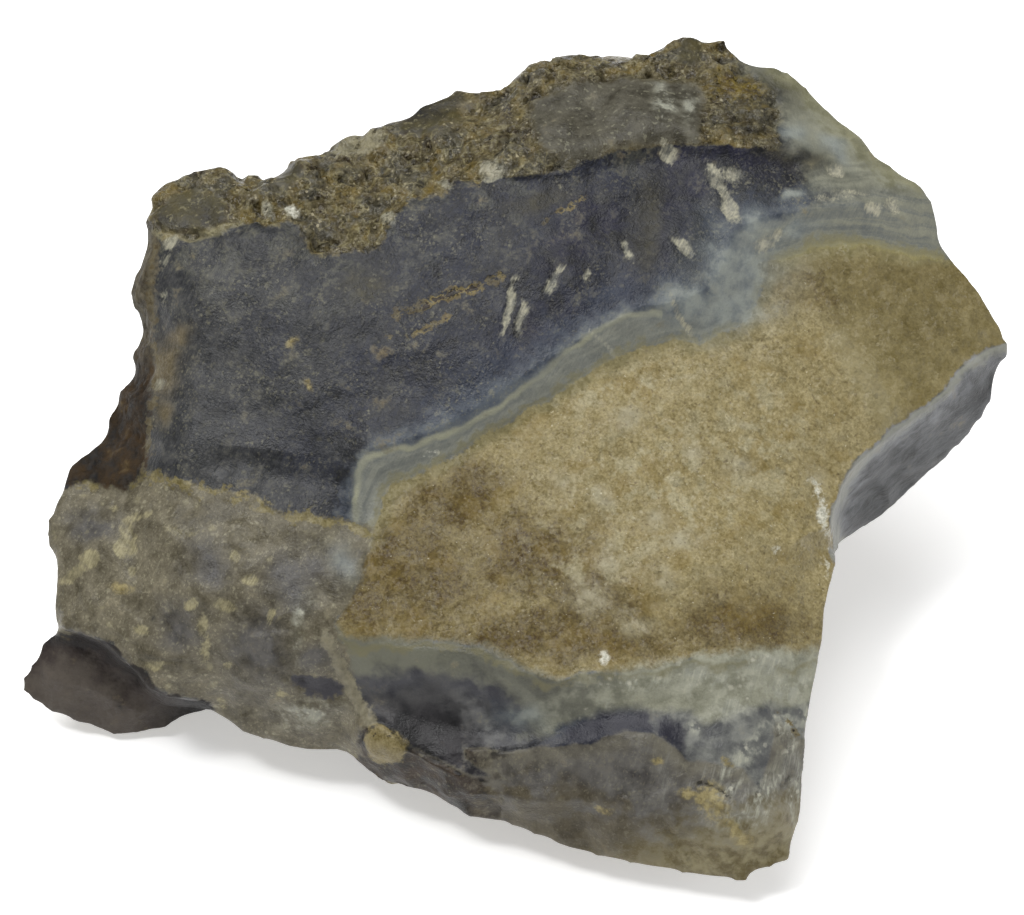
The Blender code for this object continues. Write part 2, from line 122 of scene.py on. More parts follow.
net = bmesh.new()
net.from_mesh(even_net(solid, NET))
net.normal_update()
eye = Vector(EYE * MM)
sight = {face: (eye - face.calc_center_median()).normalized() for face in net.faces}
front_faces = [face for face in net.faces if face.normal.dot(sight[face]) > LEAST_FACING]
front_edges = list({edge for face in front_faces for edge in face.edges})
bmesh.ops.subdivide_edges(net, edges=front_edges, cuts=CUTS, use_grid_fill=True)
bmesh.ops.triangulate(net, faces=[face for face in net.faces if len(face.verts) > 4])
stone_mesh = bpy.data.meshes.new("agate_stone")
net.to_mesh(stone_mesh)
net.free()
triangles = sum(len(face.vertices) - 2 for face in stone_mesh.polygons)
print("net:", len(stone_mesh.vertices), "points,", triangles, "triangles")

# %% [markdown]
# The next step works on all points at once with numpy. Each point goes most of the way back to the nearest
# place on the solid: the little that is kept of the swelling gives a sharp edge its thickness. Each point
# also needs its neighbours, and those are the other ends of its edges.

# %% Back to the solid
KEPT_SWELL = 0.25
tree = BVHTree.FromObject(solid, bpy.context.evaluated_depsgraph_get())
count = len(stone_mesh.vertices)
points = np.empty(count * 3)
stone_mesh.vertices.foreach_get("co", points)
points = points.reshape(-1, 3)
nearest = np.array([tree.find_nearest(Vector(point))[0] for point in points])
points = (nearest + (points - nearest) * KEPT_SWELL) / MM

sides = np.empty(len(stone_mesh.edges) * 2, np.int64)
stone_mesh.edges.foreach_get("vertices", sides)
sides = sides.reshape(-1, 2)
ends = np.concatenate((sides, sides[:, ::-1]))
neighbour_count = np.bincount(ends[:, 0], minlength=count)
print("neighbours of a point:", neighbour_count.min(), "to", neighbour_count.max())

# %% [markdown]
# Neighbours are averaged a few times, because the solid's flat triangles would otherwise show as facets
# through a glossy finish. Averaging once shrinks a shape, so each pass is followed by one that grows it
# again, except on sharp rims, which are worn round on a real stone too.

# %% Smooth, with worn rims
SHRINK = 0.5
GROW = -0.52


def averaged(values, strength=1.0):
    """Each point's value moved towards the mean of its neighbours'."""
    values = values.reshape(count, -1)
    mean = np.stack([np.bincount(ends[:, 0], column[ends[:, 1]], count) for column in values.T], axis=1)
    mean /= neighbour_count[:, None]
    return values + (mean - values) * np.broadcast_to(strength, (count,))[:, None]


def outward():
    """Unit normals at the points."""
    stone_mesh.vertices.foreach_set("co", (points * MM).ravel())
    stone_mesh.update()
    normals = np.empty(count * 3)
    stone_mesh.vertex_normals.foreach_get("vector", normals)
    return normals.reshape(-1, 3)


def smooth(values, low, high):
    """0 below low, 1 above high, and a soft step between."""
    part = np.clip((values - low) / (high - low), 0, 1)
    return part * part * (3 - 2 * part)


def evened(values, passes, strength):
    """Values averaged this many times, each time with a second pass that grows what the first one shrank."""
    for _ in range(passes):
        values = averaged(averaged(values, SHRINK * strength), GROW * strength)
    return values


def spread(values, passes, strength=1.0):
    """Values averaged this many times."""
    for _ in range(passes):
        values = averaged(values, strength)
    return values


points = evened(points, 7, 1.0)
normals = outward()
steep = 1 - smooth(normals @ OUT, 0.15, 0.45)
points = evened(points, 9, steep)
bend = np.linalg.norm(spread(normals, 2) - normals, axis=1)
rim = spread(smooth(bend, 0.05, 0.2), 4)[:, 0]
rim = smooth(rim, 0.06, 0.3)
points = spread(points, 6, 0.5 * rim)
normals = outward()
across, up, out = on_face(points)
facing = normals @ OUT
print("points on sharp rims:", int((rim > 0.5).sum()))
print("points that look towards the eye:", int((facing > 0.1).sum()), "of", count)

# %% [markdown]
# Two kinds of natural pattern are enough for rock. `cloud` is smooth noise, for swells and stains. `crystals`
# shares space out between grains, and says for each point how far the grain's middle is and how high the
# grain's own tilted facet stands there. Both pick their random numbers from one table, by position, so every
# run gives the same stone.

# %% Clouds and crystals
TABLE = np.random.default_rng(11).normal(size=(4096, 3))
TABLE /= np.linalg.norm(TABLE, axis=1, keepdims=True)


def pick(corner, seed):
    """A row of the table for each corner of the noise lattice."""
    mixed = corner[:, 0] * 73856093 ^ corner[:, 1] * 19349663 ^ corner[:, 2] * 83492791 ^ (seed * 7919 + 101)
    return (mixed >> 9) & 4095


def cloud(places, size, seed=0, layers=1):
    """Smooth noise, about -1 to 1, with swells `size` mm wide and `layers` of finer ones."""
    total = np.zeros(len(places))
    for layer in range(layers):
        place = places / size * 2**layer + 13.7 * layer
        low = np.floor(place).astype(np.int64)
        part = place - low
        fade = part * part * (3 - 2 * part)
        for step in itertools.product((0, 1), repeat=3):
            weight = np.prod(np.where(step, fade, 1 - fade), axis=1)
            slope = np.einsum("ij,ij->i", TABLE[pick(low + np.array(step), seed + layer)], part - step)
            total += weight * slope * 1.7 / 2**layer
    return total


def crystals(places, size, seed=0):
    """For each place, the distance to its grain's middle and the height of the grain's tilted facet."""
    place = places / size
    low = np.floor(place).astype(np.int64)
    nearest = np.full(len(places), np.inf)
    grain = np.zeros(len(places), np.int64)
    offset = np.zeros_like(places)
    for step in itertools.product((-1, 0, 1), repeat=3):
        corner = low + np.array(step)
        row = pick(corner, seed)
        gap = place - (corner + 0.5 + 0.42 * TABLE[row])
        distance = np.linalg.norm(gap, axis=1)
        closer = distance < nearest
        nearest = np.where(closer, distance, nearest)
        grain = np.where(closer, row, grain)
        offset = np.where(closer[:, None], gap, offset)
    tilt = np.einsum("ij,ij->i", TABLE[(grain * 5 + 7) & 4095], offset)
    return nearest, tilt


print("a test of the cloud:", cloud(points[:1000], 5).std().round(2))

# %% [markdown]
# The face is a map of minerals, and each has an outline. The outlines are drawn to overlap and are painted
# in this order, like paper cut-outs: what comes later covers what came before. Whatever nothing covers is the
# slate-blue chalcedony. Some outlines run past the stone's edge, which does no harm.

# %% The map of the face
REGIONS = {
    "crust": [
        (-39.2, 30.8), (-21.2, 33.8), (-3.2, 39.8), (12.8, 43.8), (23.3, 43.8), (23.6, 39.1), (26.3, 36.5),
        (27.0, 34.0), (26.7, 30.9), (22.8, 31.4), (18.8, 31.6), (12.8, 31.4), (10.8, 31.1), (8.8, 30.4),
        (6.6, 29.8), (5.6, 28.6), (2.8, 28.1), (-1.2, 27.9), (-3.2, 27.4), (-5.7, 28.1), (-6.2, 26.6),
        (-10.2, 25.9), (-11.7, 23.6), (-13.0, 21.4), (-14.2, 20.6), (-16.7, 20.4), (-20.0, 20.6),
        (-21.2, 22.4), (-22.2, 23.6), (-24.2, 23.1), (-27.2, 23.4), (-29.2, 22.4), (-31.2, 22.1),
        (-34.9, 21.9), (-36.2, 23.1), (-40.2, 25.8)],
    "panel": [
        (2.3, 36.0), (4.8, 37.1), (7.8, 37.6), (10.8, 37.9), (14.8, 37.9), (18.6, 37.4), (19.2, 36.1),
        (19.0, 33.8), (18.8, 31.8), (14.8, 31.6), (11.3, 31.4), (8.8, 30.6), (5.8, 29.9), (3.3, 30.6),
        (1.8, 32.8)],
    "clear corner": [
        (23.2, 39.8), (23.6, 39.1), (26.3, 36.5), (27.2, 34.0), (27.8, 30.9), (29.4, 28.9), (30.0, 26.8),
        (33.8, 26.1), (38.8, 26.6), (44.8, 25.8), (44.8, 33.8), (34.8, 39.8), (26.8, 41.8)],
    "core": [
        (-14.0, -8.3), (-13.4, -6.2), (-12.9, -4.2), (-12.2, -2.8), (-11.2, -2.1), (-8.2, -1.2),
        (-6.2, -0.1), (-3.4, 1.9), (-0.7, 3.4), (1.8, 4.7), (4.0, 6.0), (5.8, 7.2), (7.8, 8.6), (9.7, 9.6),
        (11.8, 10.8), (13.6, 11.3), (15.8, 11.7), (17.5, 11.7), (18.8, 11.6), (20.1, 11.7), (21.6, 12.6),
        (23.1, 13.6), (24.2, 14.8), (24.8, 16.1), (25.0, 17.6), (24.6, 18.9), (24.8, 19.6), (26.8, 19.9),
        (29.9, 21.1), (32.5, 21.4), (35.8, 21.4), (40.0, 20.4), (42.8, 20.1), (46.3, 19.6), (49.8, 15.8),
        (52.8, 10.8), (49.4, 11.2), (47.3, 10.7), (45.3, 9.2), (43.5, 7.0), (41.8, 5.3), (40.0, 4.2),
        (38.4, 3.1), (36.8, 1.8), (35.0, 0.1), (33.6, -1.6), (32.9, -2.8), (32.6, -4.0), (31.9, -5.0),
        (31.7, -6.2), (32.3, -8.8), (33.8, -8.8), (33.8, -19.4), (30.0, -19.9), (27.8, -21.1),
        (24.5, -19.9), (20.8, -20.6), (18.0, -20.2), (14.8, -21.1), (11.4, -21.6), (8.8, -21.4),
        (6.5, -21.9), (4.8, -22.6), (3.6, -22.6), (2.3, -22.1), (1.0, -21.4), (-0.2, -20.4), (-1.6, -19.8),
        (-3.2, -19.1), (-4.9, -18.8), (-8.1, -18.4), (-11.2, -18.8), (-13.0, -18.6), (-15.2, -18.9),
        (-16.3, -18.4), (-17.4, -17.6), (-17.9, -16.8), (-17.2, -15.4), (-16.4, -14.1), (-15.7, -12.8),
        (-15.0, -11.2), (-14.6, -9.8)],
    "lace": [
        (-16.0, -7.2), (-15.8, -4.2), (-15.4, -1.2), (-14.8, -0.1), (-12.7, 0.3), (-11.2, 0.8),
        (-8.2, 1.6), (-4.7, 3.0), (-2.2, 4.5), (0.2, 6.0), (2.3, 7.8), (4.5, 9.7), (6.3, 11.2),
        (8.4, 12.7), (10.0, 13.6), (11.7, 14.2), (13.3, 14.4), (15.8, 14.0), (18.4, 14.4), (20.6, 16.2),
        (21.4, 18.4), (21.8, 20.4), (22.6, 22.2), (23.8, 23.1), (26.3, 23.1), (28.6, 23.9),
        (30.0, 25.2), (32.8, 25.9), (35.8, 26.1), (38.8, 26.4), (43.8, 25.8), (43.8, 19.6),
        (42.8, 19.9), (38.8, 19.6), (32.5, 20.6), (27.3, 19.1), (25.8, 17.2), (24.8, 13.8),
        (20.8, 10.8), (13.8, 10.6), (8.8, 8.2), (-1.2, 2.5), (-8.2, -2.0), (-11.2, -2.9), (-12.0, -4.2),
        (-12.8, -7.2), (-14.0, -8.8)],
    "toe": [
        (-17.9, -16.1), (-16.7, -18.2), (-13.0, -18.2), (-4.9, -18.4), (-1.2, -19.4), (1.8, -21.4),
        (4.8, -22.2), (11.4, -21.1), (18.0, -19.8), (24.5, -19.1), (30.0, -19.1), (33.8, -19.4),
        (33.8, -24.9), (30.0, -24.9), (27.8, -25.1), (25.3, -24.9), (22.8, -25.4), (21.0, -26.4),
        (19.3, -27.1), (17.8, -25.9), (14.8, -25.9), (12.8, -25.4), (10.3, -25.6), (8.8, -25.6),
        (6.8, -26.2), (4.8, -26.9), (2.8, -28.1), (0.8, -28.6), (-0.7, -28.2), (-1.5, -26.4),
        (-1.5, -24.6), (-4.2, -24.2), (-6.7, -23.4), (-8.7, -23.1), (-10.2, -23.6), (-11.7, -23.9),
        (-13.7, -23.4), (-16.0, -23.1), (-17.2, -21.1), (-18.6, -19.2)],
    "scoop": [
        (-16.0, -22.6), (-13.7, -23.1), (-11.7, -23.4), (-10.2, -23.2), (-8.7, -22.2), (-6.7, -22.4),
        (-4.2, -23.4), (-2.0, -24.4), (-1.2, -26.2), (0.0, -28.1), (2.3, -28.4), (4.8, -27.8),
        (6.8, -26.4), (8.8, -25.4), (10.3, -25.1), (12.8, -25.1), (14.8, -25.4), (17.8, -25.4),
        (19.3, -26.6), (21.0, -26.1), (22.8, -25.2), (25.3, -24.8), (27.8, -24.9), (30.0, -24.9),
        (33.8, -24.6), (33.8, -30.2), (29.2, -28.8), (27.8, -28.8), (25.8, -31.1), (24.3, -33.2),
        (23.3, -31.4), (20.8, -30.9), (17.8, -30.8), (16.0, -28.8), (14.3, -27.8), (11.3, -27.6),
        (8.8, -28.1), (6.8, -28.6), (4.8, -28.9), (1.8, -28.9), (-0.7, -29.6), (-3.2, -28.9),
        (-4.8, -29.1), (-4.6, -30.2), (-3.4, -31.2), (-2.0, -31.9), (-4.2, -31.8), (-6.7, -30.8),
        (-9.2, -29.4), (-11.0, -28.6), (-12.2, -27.1), (-14.0, -25.6)],
    "slab": [
        (-17.2, -24.2), (-15.4, -25.8), (-14.0, -26.2), (-12.4, -26.9), (-11.0, -28.6), (-9.2, -29.2),
        (-6.7, -30.6), (-4.2, -31.6), (-2.0, -31.9), (-3.4, -31.2), (-4.7, -30.2), (-4.9, -28.9),
        (-3.2, -28.9), (-0.7, -29.4), (1.8, -28.8), (4.8, -28.9), (6.8, -28.6), (8.8, -28.1),
        (11.3, -27.4), (14.0, -27.6), (15.6, -28.4), (17.3, -30.2), (20.3, -30.6), (23.0, -31.1),
        (24.6, -33.5), (25.4, -31.2), (26.0, -28.8), (26.2, -26.4), (28.8, -28.1), (33.8, -28.2),
        (33.8, -46.2), (8.8, -44.2), (-3.2, -40.2), (-18.2, -32.2), (-16.7, -28.2)],
    "block": [
        (-49.2, -1.2), (-44.7, -2.9), (-43.2, -2.4), (-41.2, -2.6), (-38.7, -2.9), (-37.2, -2.1),
        (-36.2, -1.6), (-34.7, -1.9), (-33.2, -2.4), (-31.2, -2.9), (-29.2, -3.5), (-27.2, -3.5),
        (-25.7, -3.9), (-24.2, -5.0), (-22.7, -5.5), (-21.2, -5.8), (-19.7, -6.3), (-18.7, -6.0),
        (-17.2, -6.2), (-15.7, -6.7), (-13.8, -7.2), (-14.0, -8.8), (-14.6, -10.4), (-15.6, -13.1),
        (-17.0, -15.7), (-17.8, -17.1), (-16.4, -19.2), (-16.0, -21.1), (-15.6, -23.2), (-14.4, -25.1),
        (-13.6, -26.2), (-15.0, -27.1), (-15.4, -28.2), (-15.0, -29.9), (-18.2, -31.2), (-31.2, -28.2),
        (-29.9, -25.4), (-30.4, -24.6), (-31.6, -24.2), (-34.2, -23.9), (-35.7, -23.2), (-36.5, -22.2),
        (-37.4, -21.1), (-38.2, -20.6), (-39.2, -19.9), (-39.9, -18.8), (-41.2, -18.1), (-43.2, -17.6),
        (-45.5, -17.6), (-49.2, -18.2)],
    "lobe": [
        (-51.2, -17.9), (-45.5, -17.6), (-43.2, -17.6), (-41.2, -18.1), (-39.9, -18.8), (-39.2, -19.9),
        (-38.2, -20.6), (-37.2, -21.1), (-36.5, -22.2), (-35.7, -23.2), (-34.2, -23.9), (-31.6, -24.2),
        (-30.4, -24.6), (-29.6, -25.4), (-32.2, -30.2), (-41.2, -30.2), (-51.2, -28.2)],
    "flank": [
        (-41.2, 26.8), (-35.9, 23.6), (-35.6, 22.6), (-35.2, 20.8), (-35.4, 17.8), (-35.7, 15.8),
        (-36.2, 12.8), (-36.1, 10.8), (-35.9, 8.8), (-36.2, 5.8), (-36.3, 3.8), (-36.5, 0.8),
        (-36.8, -1.9), (-38.7, -3.0), (-41.2, -2.8), (-43.2, -2.5), (-47.2, -3.2), (-43.2, 3.8)],
    "undercut": [
        (50.0, 11.9), (48.8, 11.2), (47.3, 10.7), (45.3, 9.2), (43.5, 7.0), (41.8, 5.3), (40.0, 4.2),
        (38.4, 3.1), (36.8, 1.8), (35.0, 0.1), (33.6, -1.6), (32.9, -2.8), (32.6, -4.0), (31.9, -5.0),
        (31.7, -6.2), (32.2, -8.2), (31.8, -10.2), (38.8, -10.2), (53.8, 1.8), (53.8, 11.8)],
}
print(len(REGIONS), "outlines with", sum(map(len, REGIONS.values())), "corners")

# %% [markdown]
# To read the map, each point of the net asks how far inside each outline it lies. No border in a stone is a
# drawn line, so the map is read at places that noise has shifted a little. The back, the top and the
# underside lie behind the rim, and all of them are weathered rind. A place belongs to it if it turns away
# from the eye, or if the stone hides a spot just off its surface there.

# %% Read the map
OFF_SURFACE = 1.5


def gap_to(line, x, y):
    """Distance from each place to a line of corners, in mm."""
    gap = np.full(len(x), np.inf)
    for (ax, ay), (bx, by) in zip(line, line[1:]):
        run, rise = bx - ax, by - ay
        along = np.clip(((x - ax) * run + (y - ay) * rise) / (run**2 + rise**2), 0, 1)
        gap = np.minimum(gap, np.hypot(x - ax - along * run, y - ay - along * rise))
    return gap


def inside_by(outline, x, y):
    """How far inside the outline each place lies, in mm, and less than 0 outside it."""
    gap = gap_to(outline + outline[:1], x, y)
    inside = np.zeros(len(x), bool)
    for (ax, ay), (bx, by) in zip(outline, outline[1:] + outline[:1]):
        if ay != by:
            inside ^= ((ay > y) != (by > y)) & (x < ax + (y - ay) * (bx - ax) / (by - ay))
    return np.where(inside, gap, -gap)


ragged_x = across + 0.34 * cloud(points, 2.2, 1) + 0.16 * cloud(points, 0.8, 2)
ragged_y = up + 0.34 * cloud(points, 2.2, 3) + 0.16 * cloud(points, 0.8, 4)
depth = {name: inside_by(outline, ragged_x, ragged_y) for name, outline in REGIONS.items()}
off_points = (points + normals * OFF_SURFACE) * MM
to_eye = EYE * MM - off_points
hits = [tree.ray_cast(Vector(start), Vector(ray))[0] for start, ray in zip(off_points, to_eye)]
hidden = spread(np.array([float(hit is not None) for hit in hits]), 4)[:, 0]
rind_edge = cloud(points, 4, 5, 2)
turned_away = -0.22 - facing + 0.12 * rind_edge
depth["rind"] = np.maximum(turned_away * 6, (hidden - 0.6 + 0.2 * rind_edge) * 3)

share = {"blue": np.ones(count)}
for name, distance in depth.items():
    covers = smooth(distance, -0.35, 0.35)
    for older in share:
        share[older] = share[older] * (1 - covers)
    share[name] = covers
print({name: int(part.sum()) for name, part in share.items()})

# %% [markdown]
# Smaller things lie on the map: chips that broke away and left pale scars, soft clouds of milky or dark
# chalcedony, rusty veinlets, and thin cracks. A chip or a cloud is an oval with (across, up, half length,
# half width, tilt in degrees). A line is a list of places, and a veinlet's line comes after its half width.

# %% Marks on the map
CHIPS = [
    (-34.4, 21.4, 0.9, 0.5, 40), (-0.3, 15.2, 2.8, 0.5, 75), (0.9, 13.8, 2.0, 0.5, 80),
    (4.3, 17.9, 1.4, 0.5, 60), (3.8, 16.9, 0.8, 0.4, 10), (7.6, 18.2, 0.5, 0.3, 60),
    (11.5, 20.8, 1.1, 0.5, -70), (15.5, 30.6, 1.4, 0.6, -70), (17.0, 21.1, 1.6, 0.7, -38),
    (20.4, 27.8, 1.8, 0.7, -60), (21.8, 25.2, 2.2, 0.7, -62), (22.1, 28.4, 1.3, 0.7, -30),
    (25.2, 21.4, 1.4, 0.8, 20), (26.4, 22.2, 0.8, 0.6, 60), (32.4, 28.9, 0.8, 0.9, 90),
    (32.8, 26.2, 2.2, 0.3, 2), (36.0, 24.9, 0.8, 0.7, 0), (37.9, 25.1, 0.9, 0.8, -60),
    (16.9, 13.9, 2.2, 0.4, -62), (17.8, 12.4, 0.6, 0.3, 90), (-1.7, 28.6, 1.5, 1.0, 15),
    (-6.7, 27.4, 0.5, 0.9, 70), (-24.4, 24.8, 0.8, 0.5, -50), (-22.2, 24.6, 0.5, 0.3, -30),
    (-12.3, 23.9, 0.9, 0.8, 0), (-35.2, 7.3, 0.8, 0.6, 60), (-34.6, 19.6, 0.6, 0.4, 80),
    (-34.7, 16.2, 0.6, 0.3, 80), (-38.8, -9.1, 1.0, 1.1, 0), (-38.4, -7.2, 1.2, 0.6, -70),
    (-38.2, -11.4, 0.5, 0.8, 0), (-44.0, -11.8, 1.4, 0.6, 30), (-42.2, -10.2, 1.0, 0.8, 0),
    (-32.9, -7.3, 1.8, 0.4, 2), (-37.2, -5.8, 1.2, 0.3, 12), (-39.7, -5.0, 0.5, 0.4, 0),
    (-26.2, -12.3, 0.8, 0.6, -10), (-28.4, -14.8, 1.1, 0.7, -20), (-32.0, -14.9, 0.8, 0.5, 30),
    (-30.9, -16.8, 1.1, 0.5, 80), (-30.7, -19.2, 1.2, 0.5, 85), (-24.2, -15.8, 0.8, 0.4, 70),
    (-28.2, -20.9, 0.5, 0.5, 0), (-23.1, -23.6, 0.9, 0.3, -30), (-37.2, -17.4, 0.9, 0.5, 0),
    (-35.7, -20.8, 0.8, 0.6, 0), (-29.0, -24.8, 0.6, 0.4, -50), (-27.7, -9.8, 0.8, 0.6, 80),
]
# Small white spots; the last two are a painted highlight along the core's right edge at the notch.
WHITE_SPOTS_AND_HIGHLIGHTS = [
    (9.4, -20.1, 0.4, 0.4, 0), (26.4, -9.1, 0.3, 0.3, 0), (-8.2, 0.1, 0.4, 0.2, 20),
    (-22.0, 24.6, 0.5, 0.3, -30), (31.0, -5.2, 2.8, 0.5, -75), (31.3, -10.8, 0.8, 0.3, -80),
]
MILK = [
    (23.2, 19.0, 5.2, 5.2, 0), (22.0, 15.0, 4.0, 2.8, 20), (17.6, 15.6, 3.4, 2.2, 20),
    (0.8, -26.2, 2.5, 1.4, 0), (-16.9, -10.2, 1.6, 2.2, 20), (28.4, 32.4, 1.6, 1.2, -30),
    (32.4, 30.6, 2.0, 0.8, -40), (28.8, 22.8, 2.4, 0.8, 10), (28.0, 26.2, 1.8, 0.5, 8),
    (24.0, 23.8, 1.8, 1.4, 0),
]
PEARL = [
    (14.3, -5.8, 1.6, 1.2, 0), (8.8, -4.2, 1.2, 1.0, 0), (22.8, -1.2, 1.6, 1.0, 0),
    (17.8, 0.8, 1.4, 1.0, 0), (7.8, -14.2, 2.6, 2.0, 0), (16.8, -8.2, 2.0, 1.0, 0),
    (4.8, -2.2, 1.4, 0.9, 0), (11.8, 3.8, 1.8, 1.2, 0), (9.6, -10.2, 1.4, 1.4, 0),
    (12.4, -16.6, 1.6, 1.0, 0), (15.2, -12.2, 1.2, 0.9, 0), (30.4, -2.2, 1.6, 0.9, -70),
]
FEATHER = [
    (-21.5, -17.6, 2.8, 0.7, 80), (-20.4, -14.8, 1.2, 0.8, 60), (-20.6, -25.6, 3.0, 1.3, 8),
    (12.4, -22.4, 4.5, 0.9, 4), (18.8, -21.6, 3.2, 1.0, -10), (25.4, -20.6, 3.4, 1.0, 6),
    (22.0, -24.6, 3.2, 1.4, 18), (27.6, -23.0, 2.2, 1.2, 0), (18.4, -27.2, 1.6, 0.7, -30),
    (24.6, -28.6, 2.4, 0.8, 62), (27.2, -30.6, 3.4, 0.7, 75), (21.4, -31.6, 1.8, 0.5, 60),
    (29.6, -26.4, 2.6, 0.6, 80), (24.8, -34.6, 2.6, 1.0, 65), (7.8, -25.0, 3.0, 0.6, 4),
    (22.4, -36.2, 2.0, 1.2, -20), (15.3, 35.6, 0.8, 2.0, 10), (17.4, 35.0, 0.6, 1.8, 0),
    (20.8, -22.6, 4.4, 1.2, 4), (27.4, -26.0, 2.2, 1.6, 60), (23.2, -29.6, 2.6, 0.7, 40),
    (25.8, -33.2, 3.0, 0.6, 80), (28.4, -34.0, 3.4, 0.5, 86), (21.6, -33.4, 2.2, 0.5, 30),
]
VIOLET = [
    (-21.8, -12.2, 3.4, 3.2, 0), (-25.4, -19.2, 3.2, 4.6, 0), (-19.6, -20.4, 2.2, 2.0, 0),
    (-30.4, -10.8, 2.2, 2.6, 0), (-33.8, -17.0, 2.6, 2.2, 0), (-42.2, -6.4, 2.6, 1.6, 0),
]
STAIN = [(13.6, 23.4, 5.2, 1.3, 90), (2.8, 25.6, 3.4, 1.0, 15), (-14.2, 17.0, 2.6, 1.6, 0)]
TEA = [(-34.6, 9.0, 2.6, 1.5, 75), (-33.4, 11.8, 1.4, 1.0, 40), (-35.0, 4.6, 1.4, 0.8, 90)]
SMOKE = [(24.4, 33.2, 3.2, 1.8, -10), (26.8, 37.0, 3.0, 2.0, -40), (28.8, 29.8, 3.4, 1.2, -16)]
PALE_NODULES = [(-15.6, 31.2, 3.2, 1.4, 15)]
CROSS_STREAK = [(7.8, 12.8), (9.6, 10.8), (11.2, 9.2)]
NAVY = [
    (17.4, 26.8, 5.4, 2.4, 90), (22.8, 30.2, 5.0, 1.6, 0), (8.8, 24.2, 2.8, 2.8, 0),
    (4.8, 20.8, 3.0, 2.0, 20), (27.4, 29.4, 3.4, 0.8, -4), (15.4, 23.2, 6.0, 0.7, 88),
    (2.8, 12.6, 5.0, 2.0, 36), (12.6, 17.2, 2.6, 1.2, 20),
]
SOOT = [
    (-21.0, 21.8, 1.4, 1.0, -50), (13.1, 24.2, 5.0, 1.2, 90), (-38.4, -10.4, 0.5, 0.3, 0),
    (-36.4, -16.2, 0.4, 0.3, 0), (-6.0, -34.4, 0.5, 0.3, 0), (15.8, -38.9, 0.4, 0.3, 0),
    (-39.4, -25.1, 0.4, 0.3, 0), (-18.1, -20.4, 0.5, 0.4, 0), (-33.4, 2.6, 0.7, 0.4, 0),
    (-31.6, 3.6, 0.6, 0.4, 20), (-30.2, 1.8, 0.5, 0.3, 0), (-28.8, 4.4, 0.4, 0.3, 0),
]
UMBER = [
    (4.8, -18.2, 12.0, 2.5, 0), (-11.2, -12.2, 9.0, 7.0, 0), (-6.2, -4.6, 6.0, 3.5, 30),
    (41.8, 15.8, 6.0, 6.0, 0), (8.0, -14.5, 5.0, 4.0, 20), (-14.0, -8.0, 2.5, 5.0, 20),
    (22.8, -16.8, 7.0, 3.0, 0), (36.0, 17.0, 8.0, 3.0, 0), (1.8, -9.6, 6.0, 4.5, 0),
]
HAZE = [
    (15.0, -3.0, 11.0, 8.0, 20), (24.0, 2.0, 6.0, 8.0, 0), (8.0, -12.0, 5.0, 3.0, 0),
    (12.0, 7.0, 8.0, 2.5, 20),
]
GOLD = [
    (22.3, 37.0, 3.4, 2.0, -15), (20.0, -34.4, 2.6, 1.8, -50), (17.8, -33.8, 1.2, 0.8, 0),
    (22.4, -37.4, 2.4, 1.0, -55), (21.5, -30.4, 1.0, 0.5, -20), (23.3, -38.2, 1.2, 0.8, 30),
    (8.8, -34.9, 1.4, 0.4, -10), (14.8, -30.1, 0.8, 0.6, 0), (-26.7, -3.6, 0.8, 0.4, 0),
    (-39.2, -13.2, 1.6, 0.6, 0), (-22.2, 11.4, 0.7, 0.5, 40), (-20.5, 7.0, 0.8, 0.4, -60),
]
VEINLETS = [
    (0.22, [(-9.4, 15.0), (-7.2, 16.1), (-5.2, 16.6), (-3.6, 17.0)]),
    (0.0, [(-11.7, 14.3), (-9.2, 15.2), (-7.2, 16.1), (-5.2, 16.6), (-3.2, 17.1), (-1.2, 18.2)]),
    (-0.16, [(-12.2, 12.1), (-9.2, 12.4), (-7.2, 13.6), (-6.2, 13.9)]),
    (-0.12, [(3.3, 23.6), (4.8, 24.6), (6.3, 25.4), (7.3, 26.1)]),
    (-0.16, [(26.3, -25.1), (27.1, -26.2), (28.3, -27.8)]),
]
CRACKS = [
    [(-15.2, -28.2), (-14.4, -26.9), (-13.2, -26.4), (-12.0, -27.2), (-11.2, -28.2), (-10.4, -29.1),
     (-9.2, -29.2), (-8.2, -30.2), (-6.7, -30.8), (-5.2, -31.6)],
    [(-4.7, -29.2), (-4.4, -30.1), (-3.7, -30.9)],
    [(-3.2, -28.8), (-1.2, -29.4), (0.3, -29.1), (1.8, -28.8), (2.8, -28.4)],
    [(-4.0, -32.0), (-2.4, -32.5)],
    [(18.8, -32.5), (20.4, -33.0), (21.6, -34.2)],
]
WINDOW = [(-22.4, -22.2), (-18.7, -22.1), (-16.7, -23.2), (-17.7, -24.2), (-20.7, -23.9)]
STRAND = [(-18.7, -18.2), (-17.2, -21.2), (-16.2, -23.2), (-14.7, -25.4), (-14.0, -26.4)]
KNOB = (-12.7, -28.8, 2.2, 1.9, -25)
LENS_RIM = [(-35.7, 22.9), (-34.9, 21.9), (-32.7, 22.1), (-31.2, 22.1), (-29.2, 22.6), (-27.2, 23.6)]
GLASSY = [
    (-32.0, 24.4, 3.9, 2.3, 8), (-7.7, 34.4, 4.4, 1.5, 25), (-22.3, 28.4, 1.8, 1.2, 30),
    (17.8, 40.6, 1.6, 1.6, 0),
]
LEFT_EDGE = [(-35.7, 21.7), (-36.1, 16.0), (-35.9, 11.7), (-35.3, 8.2), (-36.1, 3.7), (-36.6, -1.2)]
# The block's top edge: golden, and lightened with a painted highlight where light catches it.
GOLDEN_EDGE_HIGHLIGHT = [
    (-43.2, -2.6), (-36.5, -1.9), (-34.7, -2.1), (-31.2, -3.1), (-27.2, -3.8), (-24.2, -5.2), (-21.2, -6.0),
    (-18.7, -6.3), (-15.7, -7.0), (-13.9, -7.6),
]
OLIVE_RIM = [(26.3, 39.0), (28.8, 37.6), (33.8, 32.4), (37.8, 28.6), (40.5, 27.0), (42.3, 22.4)]
CORE_RIM = [(26.8, 20.0), (29.9, 21.1), (32.5, 21.4), (35.8, 21.4), (40.0, 20.4), (42.8, 20.1)]
